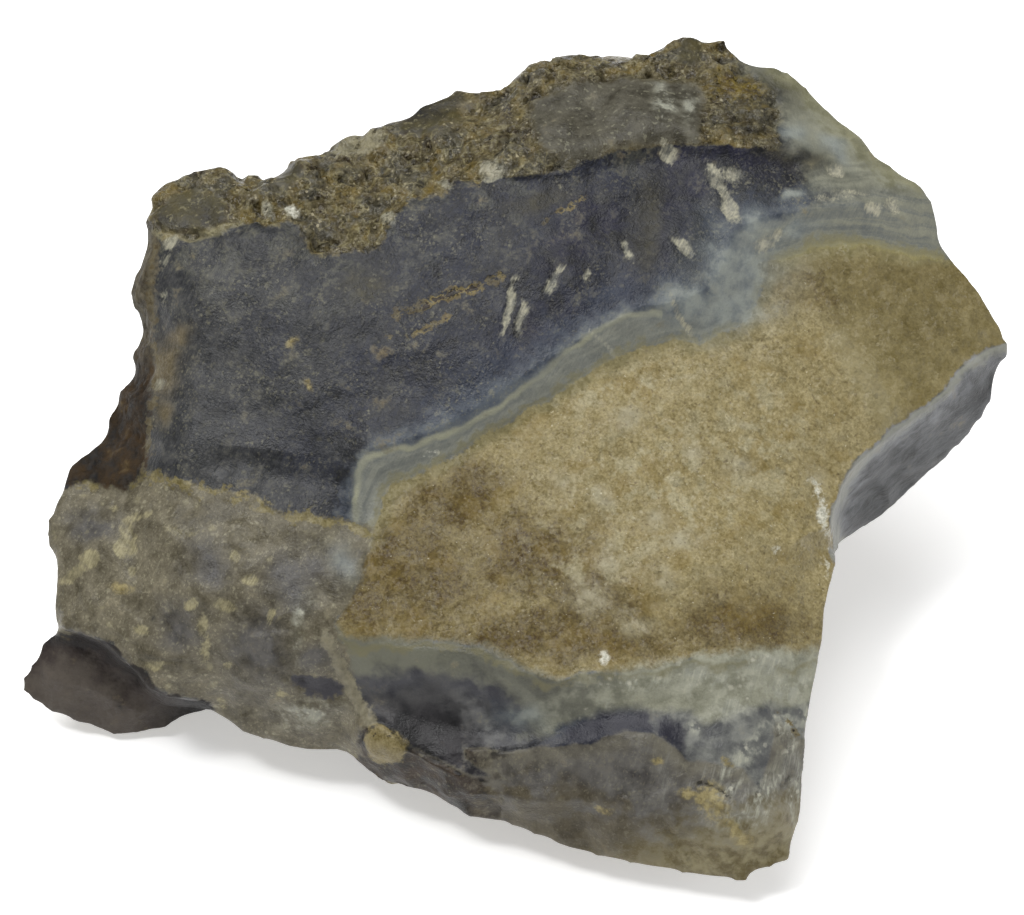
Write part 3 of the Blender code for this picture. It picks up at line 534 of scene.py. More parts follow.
LACE_LINE = [
    (-15.7, -6.2), (-15.4, -1.2), (-14.8, -0.1), (-11.2, 0.8), (-8.2, 1.6), (-4.7, 3.0), (-2.2, 4.5),
    (0.2, 6.0), (2.3, 7.8), (4.5, 9.7), (8.4, 12.7), (11.7, 14.2), (14.8, 14.3),
]
# The ridge's crest, where a painted highlight runs.
RIDGE_HIGHLIGHT_LINE = [(32.8, 11.8), (35.0, 8.2), (37.2, 4.5), (38.8, 0.8)]
print(len(CHIPS), "chips,", len(VEINLETS), "veinlets and", len(CRACKS), "cracks")

# %% [markdown]
# Marks are measured in ragged places too, so none looks drawn. Some have a hard edge and a depth in
# millimetres, some fade out like clouds, and for a line its distance is enough. All of them stop where the
# stone turns away from the eye.

# %% Measure the marks
def oval(x, y, mark):
    """0 at the oval's middle, 1 on its border and more outside it."""
    middle_x, middle_y, half_length, half_width, tilt = mark
    turn = math.radians(tilt)
    along = (x - middle_x) * math.cos(turn) + (y - middle_y) * math.sin(turn)
    beside = (y - middle_y) * math.cos(turn) - (x - middle_x) * math.sin(turn)
    return np.hypot(along / half_length, beside / half_width)


def chipped(ovals, shift):
    """How far inside the nearest hard-edged oval each place lies, in mm."""
    x = across + shift * (0.5 * cloud(points, 0.8, 11) + 2.2 * cloud(points, 1.9, 18))
    y = up + shift * (0.5 * cloud(points, 0.8, 12) + 2.2 * cloud(points, 1.9, 19))
    return np.max([(1 - oval(x, y, mark)) * min(mark[2:4]) for mark in ovals], axis=0)


def clouded(ovals, shift):
    """Soft ovals that fade out, from 0 to 1."""
    x = ragged_x + shift * cloud(points, 3.5, 13, 2)
    y = ragged_y + shift * cloud(points, 3.5, 14, 2)
    return np.max([np.exp(-1.2 * oval(x, y, mark) ** 2) for mark in ovals], axis=0)


def line_gap(line):
    """Distance to a line, measured in ragged places."""
    return gap_to(line, ragged_x, ragged_y)


# Each set of ovals comes with how far noise shifts its border, in mm.
HARD = {
    "chip": (CHIPS, 0.2), "white spot and highlight": (WHITE_SPOTS_AND_HIGHLIGHTS, 0.15), "knob": ([KNOB], 0.2), "glassy": (GLASSY, 0.2),
    "pale nodule": (PALE_NODULES, 0.2),
}
SOFT = {
    "milk": (MILK, 0.9), "navy": (NAVY, 0.9), "soot": (SOOT, 0.5), "umber": (UMBER, 1.5), "gold": (GOLD, 0.5),
    "haze": (HAZE, 1.5), "pearl": (PEARL, 0.7), "feather": (FEATHER, 0.8), "violet": (VIOLET, 1.2),
    "stain": (STAIN, 0.4), "tea": (TEA, 0.6), "smoke": (SMOKE, 0.8),
}
LINES = {
    "lens rim": LENS_RIM, "lace line": LACE_LINE, "ridge highlight line": RIDGE_HIGHLIGHT_LINE, "left edge": LEFT_EDGE,
    "golden edge highlight": GOLDEN_EDGE_HIGHLIGHT, "core rim": CORE_RIM, "olive rim": OLIVE_RIM, "cross streak": CROSS_STREAK,
}
on_front = 1 - share["rind"]
away = 3 * (1 - smooth(facing, -0.05, 0.15))
inner = {name: chipped(ovals, shift) for name, (ovals, shift) in HARD.items()}
inner["window"] = inside_by(WINDOW, ragged_x, ragged_y)
inner["strand"] = 0.75 - line_gap(STRAND)
lines = {name: line_gap(line) for name, line in LINES.items()}
lines["veinlet"] = np.min([line_gap(line) - width for width, line in VEINLETS], axis=0)
lines["crack"] = np.min([line_gap(line) for line in CRACKS], axis=0)
marks = {name: clouded(ovals, shift) * on_front for name, (ovals, shift) in SOFT.items()}
marks |= {name: depth_inside - away for name, depth_inside in inner.items()}
marks |= {name: gap + away for name, gap in lines.items()}
print("points on chips:", int((marks["chip"] > 0).sum()))

# %% [markdown]
# Now the fine relief. The crust is a crowd of small quartz crystals on lumps, the rind behind it is the same
# crust worn dull, and the sugary core is a fine crystal sand. Chalcedony breaks like glass: nearly smooth,
# with a few ripples and flat flakes. All heights are in millimetres along the normal.

# %% Crystals, ripples and flakes
bent = points + 0.8 * np.stack([cloud(points, 2.4, seed, 2) for seed in (15, 16, 17)], axis=1)
lump_gap, _ = crystals(bent, 4.6, 21)
grain_gap, grain_tilt = crystals(bent, 1.7, 22)
sand_gap, sand_tilt = crystals(points, 0.95, 23)
crease = 1 - 2 * np.abs(cloud(bent, 3.0, 38, 2))
lively = 0.45 + 0.75 * smooth(cloud(points, 7, 39), -0.3, 0.4)
lively *= 0.35 + 0.65 * smooth(facing, 0.05, 0.5)
small_crystals = 0.45 * (0.4 - grain_gap) + 0.6 * grain_tilt + 0.18 * sand_tilt
druse = 1.5 * (0.45 - lump_gap) + lively * small_crystals + 0.4 * crease
worn = 1.1 * (0.45 - lump_gap) + 0.3 * (0.4 - grain_gap) + 0.5 * cloud(points, 2.6, 24, 3)
ripples = 0.5 + 0.5 * np.sin(2.3 * np.hypot(across - 26, up + 18) + 2.2 * cloud(points, 6, 25, 2))
_, flakes = crystals(bent, 5.5, 40)
print("crystals stand out by", druse.std().round(2), "mm, worn ones by", worn.std().round(2), "mm")

# %% [markdown]
# Each mineral's relief is worked out for itself and then mixed by its share, and the marks are cut or raised
# on top. The break runs on smoothly from the blue into the right half of the crust, so the solid's ledge is
# eased first. At the end the lumps are made to lean inwards, so that the stone keeps the solid's size, and
# none hangs under its flat spot.

# %% Add the relief
ledge = smooth(2.4 - np.abs(depth["crust"]), 0, 1.4) * smooth(across, -9, -1) * smooth(facing, 0.2, 0.5)
points = spread(points, 48, ledge * 0.6)

relief = {
    "blue": 0.09 * cloud(points, 2.8, 26, 3),
    "crust": druse,
    "panel": 0.10 * cloud(points, 2.5, 28, 3) + 0.10 * flakes,
    "clear corner": 0.14 * cloud(points, 4.0, 29, 2) + 0.1 * flakes,
    "core": 0.11 * sand_tilt + 0.08 * (0.4 - sand_gap) + 0.3 * cloud(points, 7.5, 30, 2) + 0.05 * grain_tilt,
    "lace": 0.05 * cloud(points, 2.0, 31),
    "toe": 0.16 * cloud(points, 2.6, 32, 3),
    "scoop": 0.12 * cloud(points, 3.0, 33, 2),
    "slab": 0.3 * cloud(points, 4.5, 34, 3) + 0.06 * ripples + 0.3 * flakes,
    "block": 0.32 * cloud(points, 3.4, 35, 3) + 0.04 * sand_tilt + 0.2 * flakes,
    "lobe": 0.25 * cloud(points, 4.0, 36, 2),
    "flank": 0.4 * druse + 0.3 * cloud(points, 2.6, 41),
    "undercut": 0.16 * cloud(points, 4.5, 37, 2) + 0.06 * flakes,
    "rind": worn,
}
height = sum(share[name] * relief[name] for name in share)
glassy = smooth(marks["glassy"], -0.2, 0.6) * on_front
height = height * (1 - glassy) + glassy * 0.35
chips = smooth(marks["chip"], -0.1, 0.35) * on_front
height -= chips * (0.12 + 0.15 * flakes)
height += 0.10 * smooth(marks["white spot and highlight"], -0.05, 0.2)
height -= 0.2 * smooth(-marks["veinlet"], -0.3, 0.0) * on_front
height -= 0.3 * smooth(-marks["crack"], -0.3, -0.05) * on_front
height -= 0.3 * smooth(marks["window"], -0.1, 0.5) * on_front
height += 0.32 * smooth(marks["strand"], -0.1, 0.7) * on_front
height += 0.5 * smooth(marks["knob"], -0.1, 1.0) * on_front
height = np.where(height > 0, height * 0.75, height)
height *= smooth(points[:, 2], 0.4, 1.5) * (1 - 0.7 * rim * (1 - share["crust"]))
calm = share["slab"] + share["block"] + share["lobe"] + share["scoop"]
height *= 1 - 0.6 * calm * (1 - smooth(facing, 0.1, 0.5))

normals = spread(normals, 6, 0.6)
normals /= np.linalg.norm(normals, axis=1, keepdims=True)
points += normals * height[:, None]
points = spread(points, 3, 0.5 * rim)
points[:, 2] = np.maximum(points[:, 2], 0)
outward()
print("relief from", height.min().round(2), "to", height.max().round(2), "mm")

# %% [markdown]
# The finish reads the map from the mesh: every share, mark and height becomes a number kept at each point,
# called a point attribute. Such numbers follow the piece wherever it goes, also into an export.

# %% The numbers kept at each point
near_mean = spread(height, 4)[:, 0]
wide_mean = spread(near_mean, 14)[:, 0]
kept = {name: np.clip(distance, -9, 9) for name, distance in depth.items()}
kept |= {name: np.clip(value, -9, 9) for name, value in marks.items()}
kept["fine hollow"] = near_mean - height
kept["wide hollow"] = wide_mean - near_mean
kept["across"] = across
kept["up"] = up
for name, values in kept.items():
    attribute = stone_mesh.attributes.new(name, "FLOAT", "POINT")
    attribute.data.foreach_set("value", np.asarray(values, np.float32))
print(len(kept), "numbers at each of", count, "points")
print("hollows:", kept["fine hollow"].std().round(3), kept["wide hollow"].std().round(3))

# %% [markdown]
# A material is a graph of nodes. `Value` wraps one socket of it, so that the shader's sums can be written
# as sums. Its `make` method adds any other node: its settings first, then what goes into its sockets.

# %% Shader sums in Python
material = bpy.data.materials.new("agate_finish")
material.use_nodes = True
graph = material.node_tree
graph.nodes.clear()


class Value:
    """One output socket of a node. Sums with it add Math nodes."""

    def __init__(self, socket):
        self.socket = socket

    @staticmethod
    def make(kind, settings=None, inputs=None, output=0):
        """A new node's output: settings are set first, then each input gets a link or a plain value."""
        node = graph.nodes.new(kind)
        for name, setting in (settings or {}).items():
            setattr(node, name, setting)
        for key, value in (inputs or {}).items():
            if isinstance(value, Value):
                graph.links.new(value.socket, node.inputs[key])
            else:
                node.inputs[key].default_value = value
        return Value(node.outputs[output]) if node.outputs else None

    def math(self, operation, other=0.0, swapped=False):
        pair = (other, self) if swapped else (self, other)
        return Value.make("ShaderNodeMath", {"operation": operation}, dict(enumerate(pair)))

    def __add__(self, other):
        return self.math("ADD", other)

    def __radd__(self, other):
        return self.math("ADD", other)

    def __sub__(self, other):
        return self.math("SUBTRACT", other)

    def __rsub__(self, other):
        return self.math("SUBTRACT", other, swapped=True)

    def __mul__(self, other):
        return self.math("MULTIPLY", other)

    def __rmul__(self, other):
        return self.math("MULTIPLY", other)

    def clipped(self):
        return self.math("MINIMUM", 1.0).math("MAXIMUM", 0.0)


def step_up(value, low, high):
    """0 at low, 1 at high, with a soft step between. Low may be the greater of the two."""
    settings = {"interpolation_type": "SMOOTHSTEP", "clamp": False}
    return Value.make("ShaderNodeMapRange", settings, {"Value": value, "From Min": low, "From Max": high})


def kept_number(name):
    return Value.make("ShaderNodeAttribute", {"attribute_name": name}, output="Fac")


def vector_math(operation, *inputs, output=0):
    return Value.make("ShaderNodeVectorMath", {"operation": operation}, dict(enumerate(inputs)), output)


def paint(below, above, mask):
    """The colour above laid over the colour below where the mask is 1."""
    return Value.make("ShaderNodeMix", {"data_type": "RGBA"}, {0: mask, 6: below, 7: above}, output=2)


print(len(graph.nodes), "nodes in the graph before the first pattern")

# %% [markdown]
# Colours are easiest to choose as they look on the screen. The lamps light the face 1.25 times as strongly
# as plain white needs and lay a grey sheen over it, so the stone's own colour is worked out from that.

# %% Colours as they look
LIGHT_ON_FACE = 1.25
SHEEN = 0.03
DARKEST = 0.004


def seen(red, green, blue):
    """The stone's own colour where it looks like this on the screen, in numbers from 0 to 255."""
    linear = [((part / 255 + 0.055) / 1.055) ** 2.4 for part in (red, green, blue)]
    return (*[max((part - SHEEN) / LIGHT_ON_FACE, DARKEST) for part in linear], 1.0)


def between(deep, light, pattern):
    """A colour that goes from deep to light as the pattern goes from 0 to 1."""
    return paint(seen(*deep), seen(*light), pattern)


print("a mid grey:", [round(part, 3) for part in seen(128, 128, 128)])

# %% [markdown]
# The patterns come from a few kinds of noise. All of them read the place inside the piece, in millimetres.

# %% Kinds of noise
place = Value.make("ShaderNodeTexCoord", output="Object")
place = Value.make("ShaderNodeMapping", None, {"Vector": place, "Scale": (1 / MM, 1 / MM, 1 / MM)})


def mottle(size, detail=2.0, roughness=0.6, where=place):
    """Noise from about 0.3 to 0.7 with spots `size` mm wide."""
    inputs = {"Vector": where, "Scale": 1 / size, "Detail": detail, "Roughness": roughness}
    return Value.make("ShaderNodeTexNoise", None, inputs)


def streaks(angle, length, width, detail=2.0):
    """Noise drawn out along one direction on the face, in degrees from the across axis."""
    turn = math.radians(angle)
    along = ACROSS * math.cos(turn) + UP * math.sin(turn)
    beside = UP * math.cos(turn) - ACROSS * math.sin(turn)
    tilt = Matrix((along, beside, OUT)).transposed().to_euler()
    inputs = {"Vector": place, "Rotation": tuple(tilt), "Scale": (length, width, width)}
    return mottle(1.0, detail, 0.6, Value.make("ShaderNodeMapping", {"vector_type": "TEXTURE"}, inputs))


def facets(size):
    """A random direction for each small grain: three numbers between -0.5 and 0.5."""
    colour = Value.make("ShaderNodeTexVoronoi", None, {"Vector": place, "Scale": 1 / size}, output="Color")
    return vector_math("SUBTRACT", colour, (0.5, 0.5, 0.5))


print(len(graph.nodes), "nodes for the place")

# %% [markdown]
# Every mineral has a deep and a light colour, and one of a few noises decides between them. The noises are
# shared, from swells 5 mm wide down to grains of a fifth of a millimetre, because each one costs time for
# every ray. Chalcedony is a little clear, so its colours melt into each other: only crystals get hard dots.

# %% Shared noises
swell = step_up(mottle(5.0, 3), 0.34, 0.66)
patches = step_up(mottle(2.6, 3, 0.5), 0.36, 0.64)
spots = step_up(mottle(1.4, 4, 0.6), 0.34, 0.66)
grain = step_up(mottle(0.55, 3, 0.6), 0.34, 0.66)
dust = step_up(mottle(0.24, 2, 0.6), 0.32, 0.68)
slant = step_up(streaks(62, 1.7, 0.2, 2), 0.34, 0.66)
fibre = step_up(streaks(74, 3.4, 0.32, 2), 0.40, 0.66)
fine_hollow = kept_number("fine hollow")
wide_hollow = kept_number("wide hollow")
across_face = kept_number("across")
up_face = kept_number("up")
wobble = (spots - 0.5) * 0.35 + (grain - 0.5) * 0.3


def mixed(first, *others, shares=(0.5, 0.5)):
    """A pattern that is the sum of others, each with its share."""
    total = first * shares[0]
    for part, weight in zip(others, shares[1:]):
        total = total + part * weight
    return total.clipped()


def inside(name, edge):
    """1 inside a region and 0 outside it, with a border that is soft over twice `edge` mm."""
    return step_up(kept_number(name) + wobble, -edge, edge)


def painted_region(colour, name, deep, light, pattern, edge=0.25):
    """The region's own colour laid over what is there."""
    return paint(colour, between(deep, light, pattern), inside(name, edge))


def banded(distance, width):
    """Noise in thin layers along a border: it changes fast with the distance to it, and slowly along it."""
    slow = 9.0
    inputs = {"Vector": place, "W": distance * (slow / width), "Scale": 1 / slow}
    inputs |= {"Detail": 2.0, "Roughness": 0.5}
    return Value.make("ShaderNodeTexNoise", {"noise_dimensions": "4D"}, inputs)


def specks(size, reach=0.5):
    """Soft, crooked dots in most cells of a net `size` mm wide, with a radius of up to `reach` cells."""
    gap = Value.make("ShaderNodeTexVoronoi", None, {"Vector": place, "Scale": 1 / size}, "Distance")
    middle = Value(gap.socket.node.outputs["Position"])
    chance = Value.make("ShaderNodeTexWhiteNoise", None, {"Vector": middle}, "Value")
    crooked = gap + chance * 0.5 + (grain - 0.5) * (0.5 * reach) + (dust - 0.5) * (0.3 * reach)
    return step_up(crooked, reach, reach * 0.35)


def flecks(size, rarity, softness=0.06):
    """Small scattered dots. The greater the rarity, from 0.5 to 0.75, the fewer there are."""
    return step_up(mottle(size, 1.5, 0.5), rarity, rarity + softness)


print(len(graph.nodes), "nodes for the noises")

# %% [markdown]
# The slate-blue chalcedony is greyer and browner towards the left, and turns milky near the lace. Thin
# brushed streaks and tiny pale flecks, where the break took off scales, keep it from looking like paint.

# %% The slate-blue chalcedony
core_depth = kept_number("core")
crust_depth = kept_number("crust")
leftward = step_up(across_face + (swell - 0.5) * 12, -8.0, -30.0)
blue_deep = between((44, 46, 53), (58, 59, 61), leftward)
blue_light = between((61, 63, 72), (82, 82, 82), leftward)
blue_mix = mixed(mixed(swell, patches), spots, slant, grain, shares=(0.34, 0.3, 0.2, 0.16))
blue_pattern = step_up(blue_mix, 0.12, 0.88)
colour = paint(blue_deep, blue_light, blue_pattern)
green_grey = step_up(patches + (grain - 0.5) * 0.5, 0.55, 1.0) * step_up(crust_depth, -11.0, -1.0)
colour = paint(colour, seen(98, 98, 86), green_grey * 0.3)
navy = kept_number("navy")
navy_own = between((16, 22, 38), (38, 45, 66), mixed(spots, patches))
colour = paint(colour, navy_own, (navy * 1.5).clipped() * 0.92)
off_crust = step_up(crust_depth, -1.0, -4.0)
indigo = step_up(core_depth + (swell - 0.5) * 2.0, -8.0, -5.0) * step_up(across_face, -16.0, -6.0) * off_crust
colour = paint(colour, between((54, 58, 70), (72, 78, 90), mixed(spots, slant)), indigo * 0.6)
halo = step_up(core_depth + (spots - 0.5) * 0.8 + (patches - 0.5) * 1.2, -5.6, -2.5) * off_crust
colour = paint(colour, between((88, 94, 104), (106, 111, 114), mixed(patches, spots)), halo * 0.9)
pale_mist = step_up(mixed(spots, grain, patches, shares=(0.4, 0.3, 0.3)), 0.62, 0.95)
colour = paint(colour, seen(112, 110, 98), pale_mist * 0.3)
fleck_field = (0.25 + 0.75 * step_up(mottle(4.0, 2), 0.4, 0.65)) * (1 - 0.7 * navy)
strokes = step_up(streaks(64, 0.9, 0.22, 2), 0.60, 0.72)
blue_specks = specks(1.0, 0.42) * 0.45 + specks(0.45, 0.5) * 0.5
blue_specks = blue_specks + flecks(0.34, 0.60, 0.08) * 0.4 + strokes * 0.35
colour = paint(colour, seen(136, 133, 114), (blue_specks * fleck_field).clipped() * 0.75)
colour = paint(colour, seen(44, 44, 46), step_up(mottle(2.2, 3, 0.55), 0.40, 0.28) * 0.5)
stain = kept_number("stain")
stain_own = between((58, 57, 50), (86, 82, 66), spots)
colour = paint(colour, stain_own, (stain * (0.7 + 0.5 * grain)).clipped() * 0.85)
tea = kept_number("tea")
tea_own = between((90, 82, 64), (128, 118, 96), mixed(spots, dust))
colour = paint(colour, tea_own, (tea * 1.2).clipped() * 0.8)
print(len(graph.nodes), "nodes with the blue")

# %% [markdown]
# The crust is quartz in small crystals, some clear, some rusty, on olive and dark lumps. Its middle part is
# a smooth grey-olive panel, and the right-hand corner has lost its crust, so the clear bands show there.

# %% The crust, the panel and the clear corner
crust_pattern = mixed(patches, grain, spots, dust, shares=(0.3, 0.25, 0.35, 0.1))
crust_own = between((60, 55, 40), (128, 120, 92), crust_pattern)
crust_own = paint(crust_own, seen(88, 87, 80), step_up(swell, 0.45, 0.85) * 0.6)
rust = step_up(mottle(2.6, 2), 0.48, 0.64) * mixed(grain, spots)
crust_own = paint(crust_own, seen(112, 95, 50), rust * 0.8)
pale_vein = step_up((mottle(1.9, 2, 0.5) - 0.5).math("ABSOLUTE"), 0.04, 0.0)
crust_own = paint(crust_own, seen(152, 145, 114), pale_vein * (0.2 + 0.4 * grain))
crust_own = paint(crust_own, seen(42, 36, 25), step_up(mottle(1.7, 3, 0.5), 0.40, 0.3) * 0.5)
# Painted glints: pale specks where crystal facets would mirror the lamp.
crust_own = paint(crust_own, seen(200, 190, 158), specks(0.55, 0.42) * 0.45)
colour = paint(colour, crust_own, step_up(crust_depth + wobble, -0.3, 0.3))
panel_pattern = mixed(patches, spots, dust, grain, shares=(0.35, 0.3, 0.15, 0.2))
colour = painted_region(colour, "panel", (62, 60, 54), (106, 103, 92), panel_pattern, 0.7)
panel_flecks = flecks(0.5, 0.62) * step_up(kept_number("panel"), 0.0, 0.5)
colour = paint(colour, seen(136, 134, 116), panel_flecks * 0.5)
corner = kept_number("clear corner")
corner_bands = step_up(banded(core_depth, 0.9), 0.36, 0.62)
corner_pattern = mixed(corner_bands, swell, spots, dust, shares=(0.45, 0.25, 0.2, 0.1))
colour = painted_region(colour, "clear corner", (104, 105, 97), (152, 152, 135), corner_pattern, 1.3)
smoke = kept_number("smoke")
colour = paint(colour, between((52, 50, 42), (82, 79, 68), spots), (smoke * 1.2).clipped() * 0.8)
olive = step_up(kept_number("olive rim") + (spots - 0.5) * 1.0, 2.0, 0.2)
rim_place = olive * step_up(core_depth, 0.1, -0.3)
colour = paint(colour, between((112, 110, 84), (142, 139, 106), spots), rim_place * 0.6)
print(len(graph.nodes), "nodes with the crust")

# %% [markdown]
# The lace formed on the core, layer by layer. So its lines come from the distance to the core's border: a
# milky halo, one cream line, a few thin grey layers, and a soft, clear edge against the sugary quartz.

# %% The lace
lace_bands = step_up(banded(core_depth, 0.55), 0.38, 0.62)
lace_pattern = mixed(lace_bands, slant, spots, dust, shares=(0.4, 0.25, 0.25, 0.1))
colour = painted_region(colour, "lace", (110, 112, 108), (140, 141, 130), lace_pattern, 1.1)
lace_line = kept_number("lace line") + (spots - 0.5) * 0.15
line_strength = 0.5 + 0.4 * step_up(mottle(4.0, 1), 0.4, 0.6)
colour = paint(colour, seen(152, 152, 132), step_up(lace_line, 0.5, 0.05) * line_strength)
rightward = step_up(across_face, 22.0, 27.0) * step_up(core_depth, 0.1, -0.4)
band_lines = step_up(banded(core_depth, 0.5), 0.42, 0.58)
bands_pattern = mixed(band_lines, spots, slant, shares=(0.55, 0.25, 0.2))
bands_own = between((96, 100, 102), (142, 141, 122), bands_pattern)
colour = paint(colour, bands_own, rightward * step_up(kept_number("lace"), -0.6, 0.5) * 0.55)
dark_layer = step_up(core_depth, -1.9, -1.5) * step_up(core_depth, -0.8, -1.3)
colour = paint(colour, seen(88, 92, 94), dark_layer * 0.2)
cross_streak = step_up(kept_number("cross streak") + (slant - 0.5) * 0.2, 0.3, 0.0)
colour = paint(colour, seen(168, 166, 148), cross_streak * 0.45)
print(len(graph.nodes), "nodes with the lace")

# %% [markdown]
# The core is sugary quartz. Its left and lower parts are stained brown, the middle is pale and hazy, and the
# part right of the ridge is smooth and olive. Its grains are as fine as sand, so the noises stay soft. Tiny
# white dots are painted glints, and a painted highlight runs along the ridge.

# %% The sugary core
core_pattern = mixed(grain, dust, spots, patches, shares=(0.3, 0.4, 0.17, 0.13))
core_own = between((114, 103, 71), (170, 158, 120), core_pattern)
umber = kept_number("umber")
umber_own = between((67, 57, 33), (116, 103, 67), core_pattern)
core_own = paint(core_own, umber_own, (umber * 1.6).clipped() * (0.75 + 0.25 * patches))
core_own = paint(core_own, seen(130, 113, 70), step_up(mottle(3.4, 3), 0.5, 0.66) * 0.4)
haze = kept_number("haze")
pale = step_up(mottle(1.9, 3, 0.55), 0.47, 0.62) * (0.1 + 0.65 * haze)
core_own = paint(core_own, between((146, 140, 112), (180, 173, 144), mixed(dust, grain)), pale)
pearl = (kept_number("pearl") * 0.7 * (0.5 + 0.7 * spots)).clipped()
core_own = paint(core_own, seen(164, 158, 134), pearl)
core_own = paint(core_own, seen(190, 182, 152), specks(0.6, 0.5) * (0.12 + 0.35 * haze))
# Painted glints: tiny white dots where grains would mirror the lamp.
core_own = paint(core_own, seen(222, 217, 196), flecks(0.34, 0.72, 0.05) * 0.35)
core_own = paint(core_own, seen(76, 62, 40), flecks(0.45, 0.63, 0.1) * 0.4)
smooth_part = step_up(across_face * 0.9 + up_face * 0.45 + (spots - 0.5) * 3, 33.0, 37.0)
olive_pattern = mixed(patches, spots, dust, shares=(0.35, 0.35, 0.3))
core_own = paint(core_own, between((108, 99, 68), (140, 130, 96), olive_pattern), smooth_part * 0.7)
# A painted highlight along the ridge's crest.
ridge_highlight = step_up(kept_number("ridge highlight line") + (spots - 0.5) * 1.4, 2.0, 0.2)
core_own = paint(core_own, seen(158, 151, 122), ridge_highlight * 0.4)
soft_side = step_up(kept_number("lace") - (spots - 0.5) * 0.4, -1.0, 0.0)
lace_blend = between((116, 110, 82), (140, 133, 102), mixed(spots, grain))
blend_place = step_up(core_depth + (patches - 0.5) * 1.4, 2.8, 0.2)
core_own = paint(core_own, lace_blend, blend_place * soft_side * 0.75)
colour = paint(colour, core_own, step_up(core_depth + wobble * 0.7, -0.25, 0.25))
core_rim = step_up(kept_number("core rim") + (grain - 0.5) * 0.4, 0.7, 0.1)
colour = paint(colour, seen(148, 141, 100), core_rim * 0.55)
print(len(graph.nodes), "nodes with the core")

# %% [markdown]
# Below the core come a second pale band, the toe, and the dark hollow under it, the scoop. Both go from
# clear and dark on the left to milky on the right. The scoop's darkness is partly painted shade of the
# hollow, and it is painted lighter towards the toe and from the middle rightwards.

# %% The toe and the scoop
toe_bands = step_up(banded(core_depth, 1.1), 0.36, 0.64)
toe_pattern = mixed(toe_bands, patches, spots, dust, shares=(0.2, 0.35, 0.3, 0.15))
toe_right = step_up(across_face + (patches - 0.5) * 5, 1.0, 13.0)
toe_own = between((86, 86, 79), (118, 118, 107), toe_pattern)
toe_own = paint(toe_own, between((112, 112, 98), (166, 166, 148), toe_pattern), toe_right)
toe_left = step_up(across_face + (spots - 0.5) * 3, -6.0, -9.0)
toe_own = paint(toe_own, seen(118, 118, 105), toe_left * 0.6)
toe_dark = step_up(core_depth + (patches - 0.5) * 0.9 + (spots - 0.5) * 0.4, -2.0, -3.6)
toe_dark = toe_dark * step_up(across_face + (patches - 0.5) * 5, 2.0, -3.0)
dark_own = between((62, 62, 68), (86, 86, 91), mixed(spots, patches))
toe_own = paint(toe_own, dark_own, toe_dark * 0.9)
colour = paint(colour, toe_own, inside("toe", 0.7))
off_core = step_up(core_depth + (spots - 0.5) * 0.8, -0.1, -1.2)
warm_line = step_up(off_core, 0.9, 0.0) * step_up(core_depth, 0.1, -0.3)
colour = paint(colour, seen(120, 115, 88), warm_line * 0.6)
# Painted shade: the scoop's colours are darkened as the hollow's shade, with a lighter, less shaded copy laid
# on near the toe, more so from the middle rightwards.
less_shaded_near_toe = step_up(kept_number("toe") + (patches - 0.5) * 1.6, -4.6, 0.2)
soft_spots = mixed(patches, spots)
scoop_pattern = mixed(swell, patches, spots, shares=(0.35, 0.35, 0.3))
scoop_with_shade = between((43, 41, 42), (68, 66, 68), scoop_pattern)
scoop_less_shaded = between((86, 86, 90), (122, 122, 119), soft_spots)
strip_own = between((56, 56, 62), (80, 80, 86), soft_spots)
lit_part = step_up(across_face + (patches - 0.5) * 4, -6.0, -1.0)
scoop_with_shade = paint(scoop_with_shade, scoop_less_shaded, less_shaded_near_toe * (0.3 + 0.6 * lit_part))
in_strip = step_up(across_face + (spots - 0.5) * 2, 2.5, 6.0)
scoop_with_shade = paint(scoop_with_shade, strip_own, in_strip * 0.95)
scoop_end = step_up(across_face + (patches - 0.5) * 4, 13.5, 18.5)
end_own = between((84, 85, 86), (132, 133, 127), soft_spots)
scoop_with_shade = paint(scoop_with_shade, end_own, scoop_end * 0.95)
colour = paint(colour, scoop_with_shade, inside("scoop", 0.8))
print(len(graph.nodes), "nodes with the toe and the scoop")

# %% [markdown]
# The slab is the broken end below the scoop: clearer chalcedony, violet-grey on the left, streaked with
# white on the right, brown at its foot and in its left corner. Its top edge is a pale clear lip, made lighter
# still with a painted highlight.

# %% The slab
slab_right = step_up(across_face + (spots - 0.5) * 4, 8.0, 27.0)
slab_pattern = mixed(swell, patches, spots, grain, shares=(0.3, 0.3, 0.25, 0.15)) * 0.7 + slab_right * 0.4
colour = painted_region(colour, "slab", (66, 64, 64), (122, 120, 114), slab_pattern.clipped(), 0.3)
slab_depth = kept_number("slab")
in_slab = step_up(slab_depth, 0.0, 0.4)
# The pale lip along the slab's top edge is also a painted highlight.
slab_lip_highlight = step_up(slab_depth + (patches - 0.5) * 1.6, 3.2, 0.3) * step_up(slab_depth, -0.1, 0.2)
slab_lip_highlight_own = between((92, 89, 82), (122, 118, 104), mixed(patches, spots))
colour = paint(colour, slab_lip_highlight_own, slab_lip_highlight * step_up(up_face, -33.5, -31.5) * 0.75)
streaked = step_up(mixed(fibre, patches, shares=(0.6, 0.4)), 0.55, 0.95) * in_slab
colour = paint(colour, seen(140, 140, 132), streaked * slab_right * 0.6)
foot_place = step_up(up_face + across_face * 0.2 + (patches - 0.5) * 4, -31.0, -35.5)
foot_pattern = mixed(spots, patches, dust, shares=(0.4, 0.4, 0.2))
foot_own = between((74, 68, 55), (112, 105, 88), foot_pattern)
colour = paint(colour, foot_own, foot_place * in_slab * 0.8)
corner_foot = step_up(up_face - across_face * 0.35 + (spots - 0.5) * 3, -41.0, -46.0)
corner_own = between((104, 94, 66), (150, 142, 112), spots)
colour = paint(colour, corner_own, corner_foot * in_slab * 0.8)
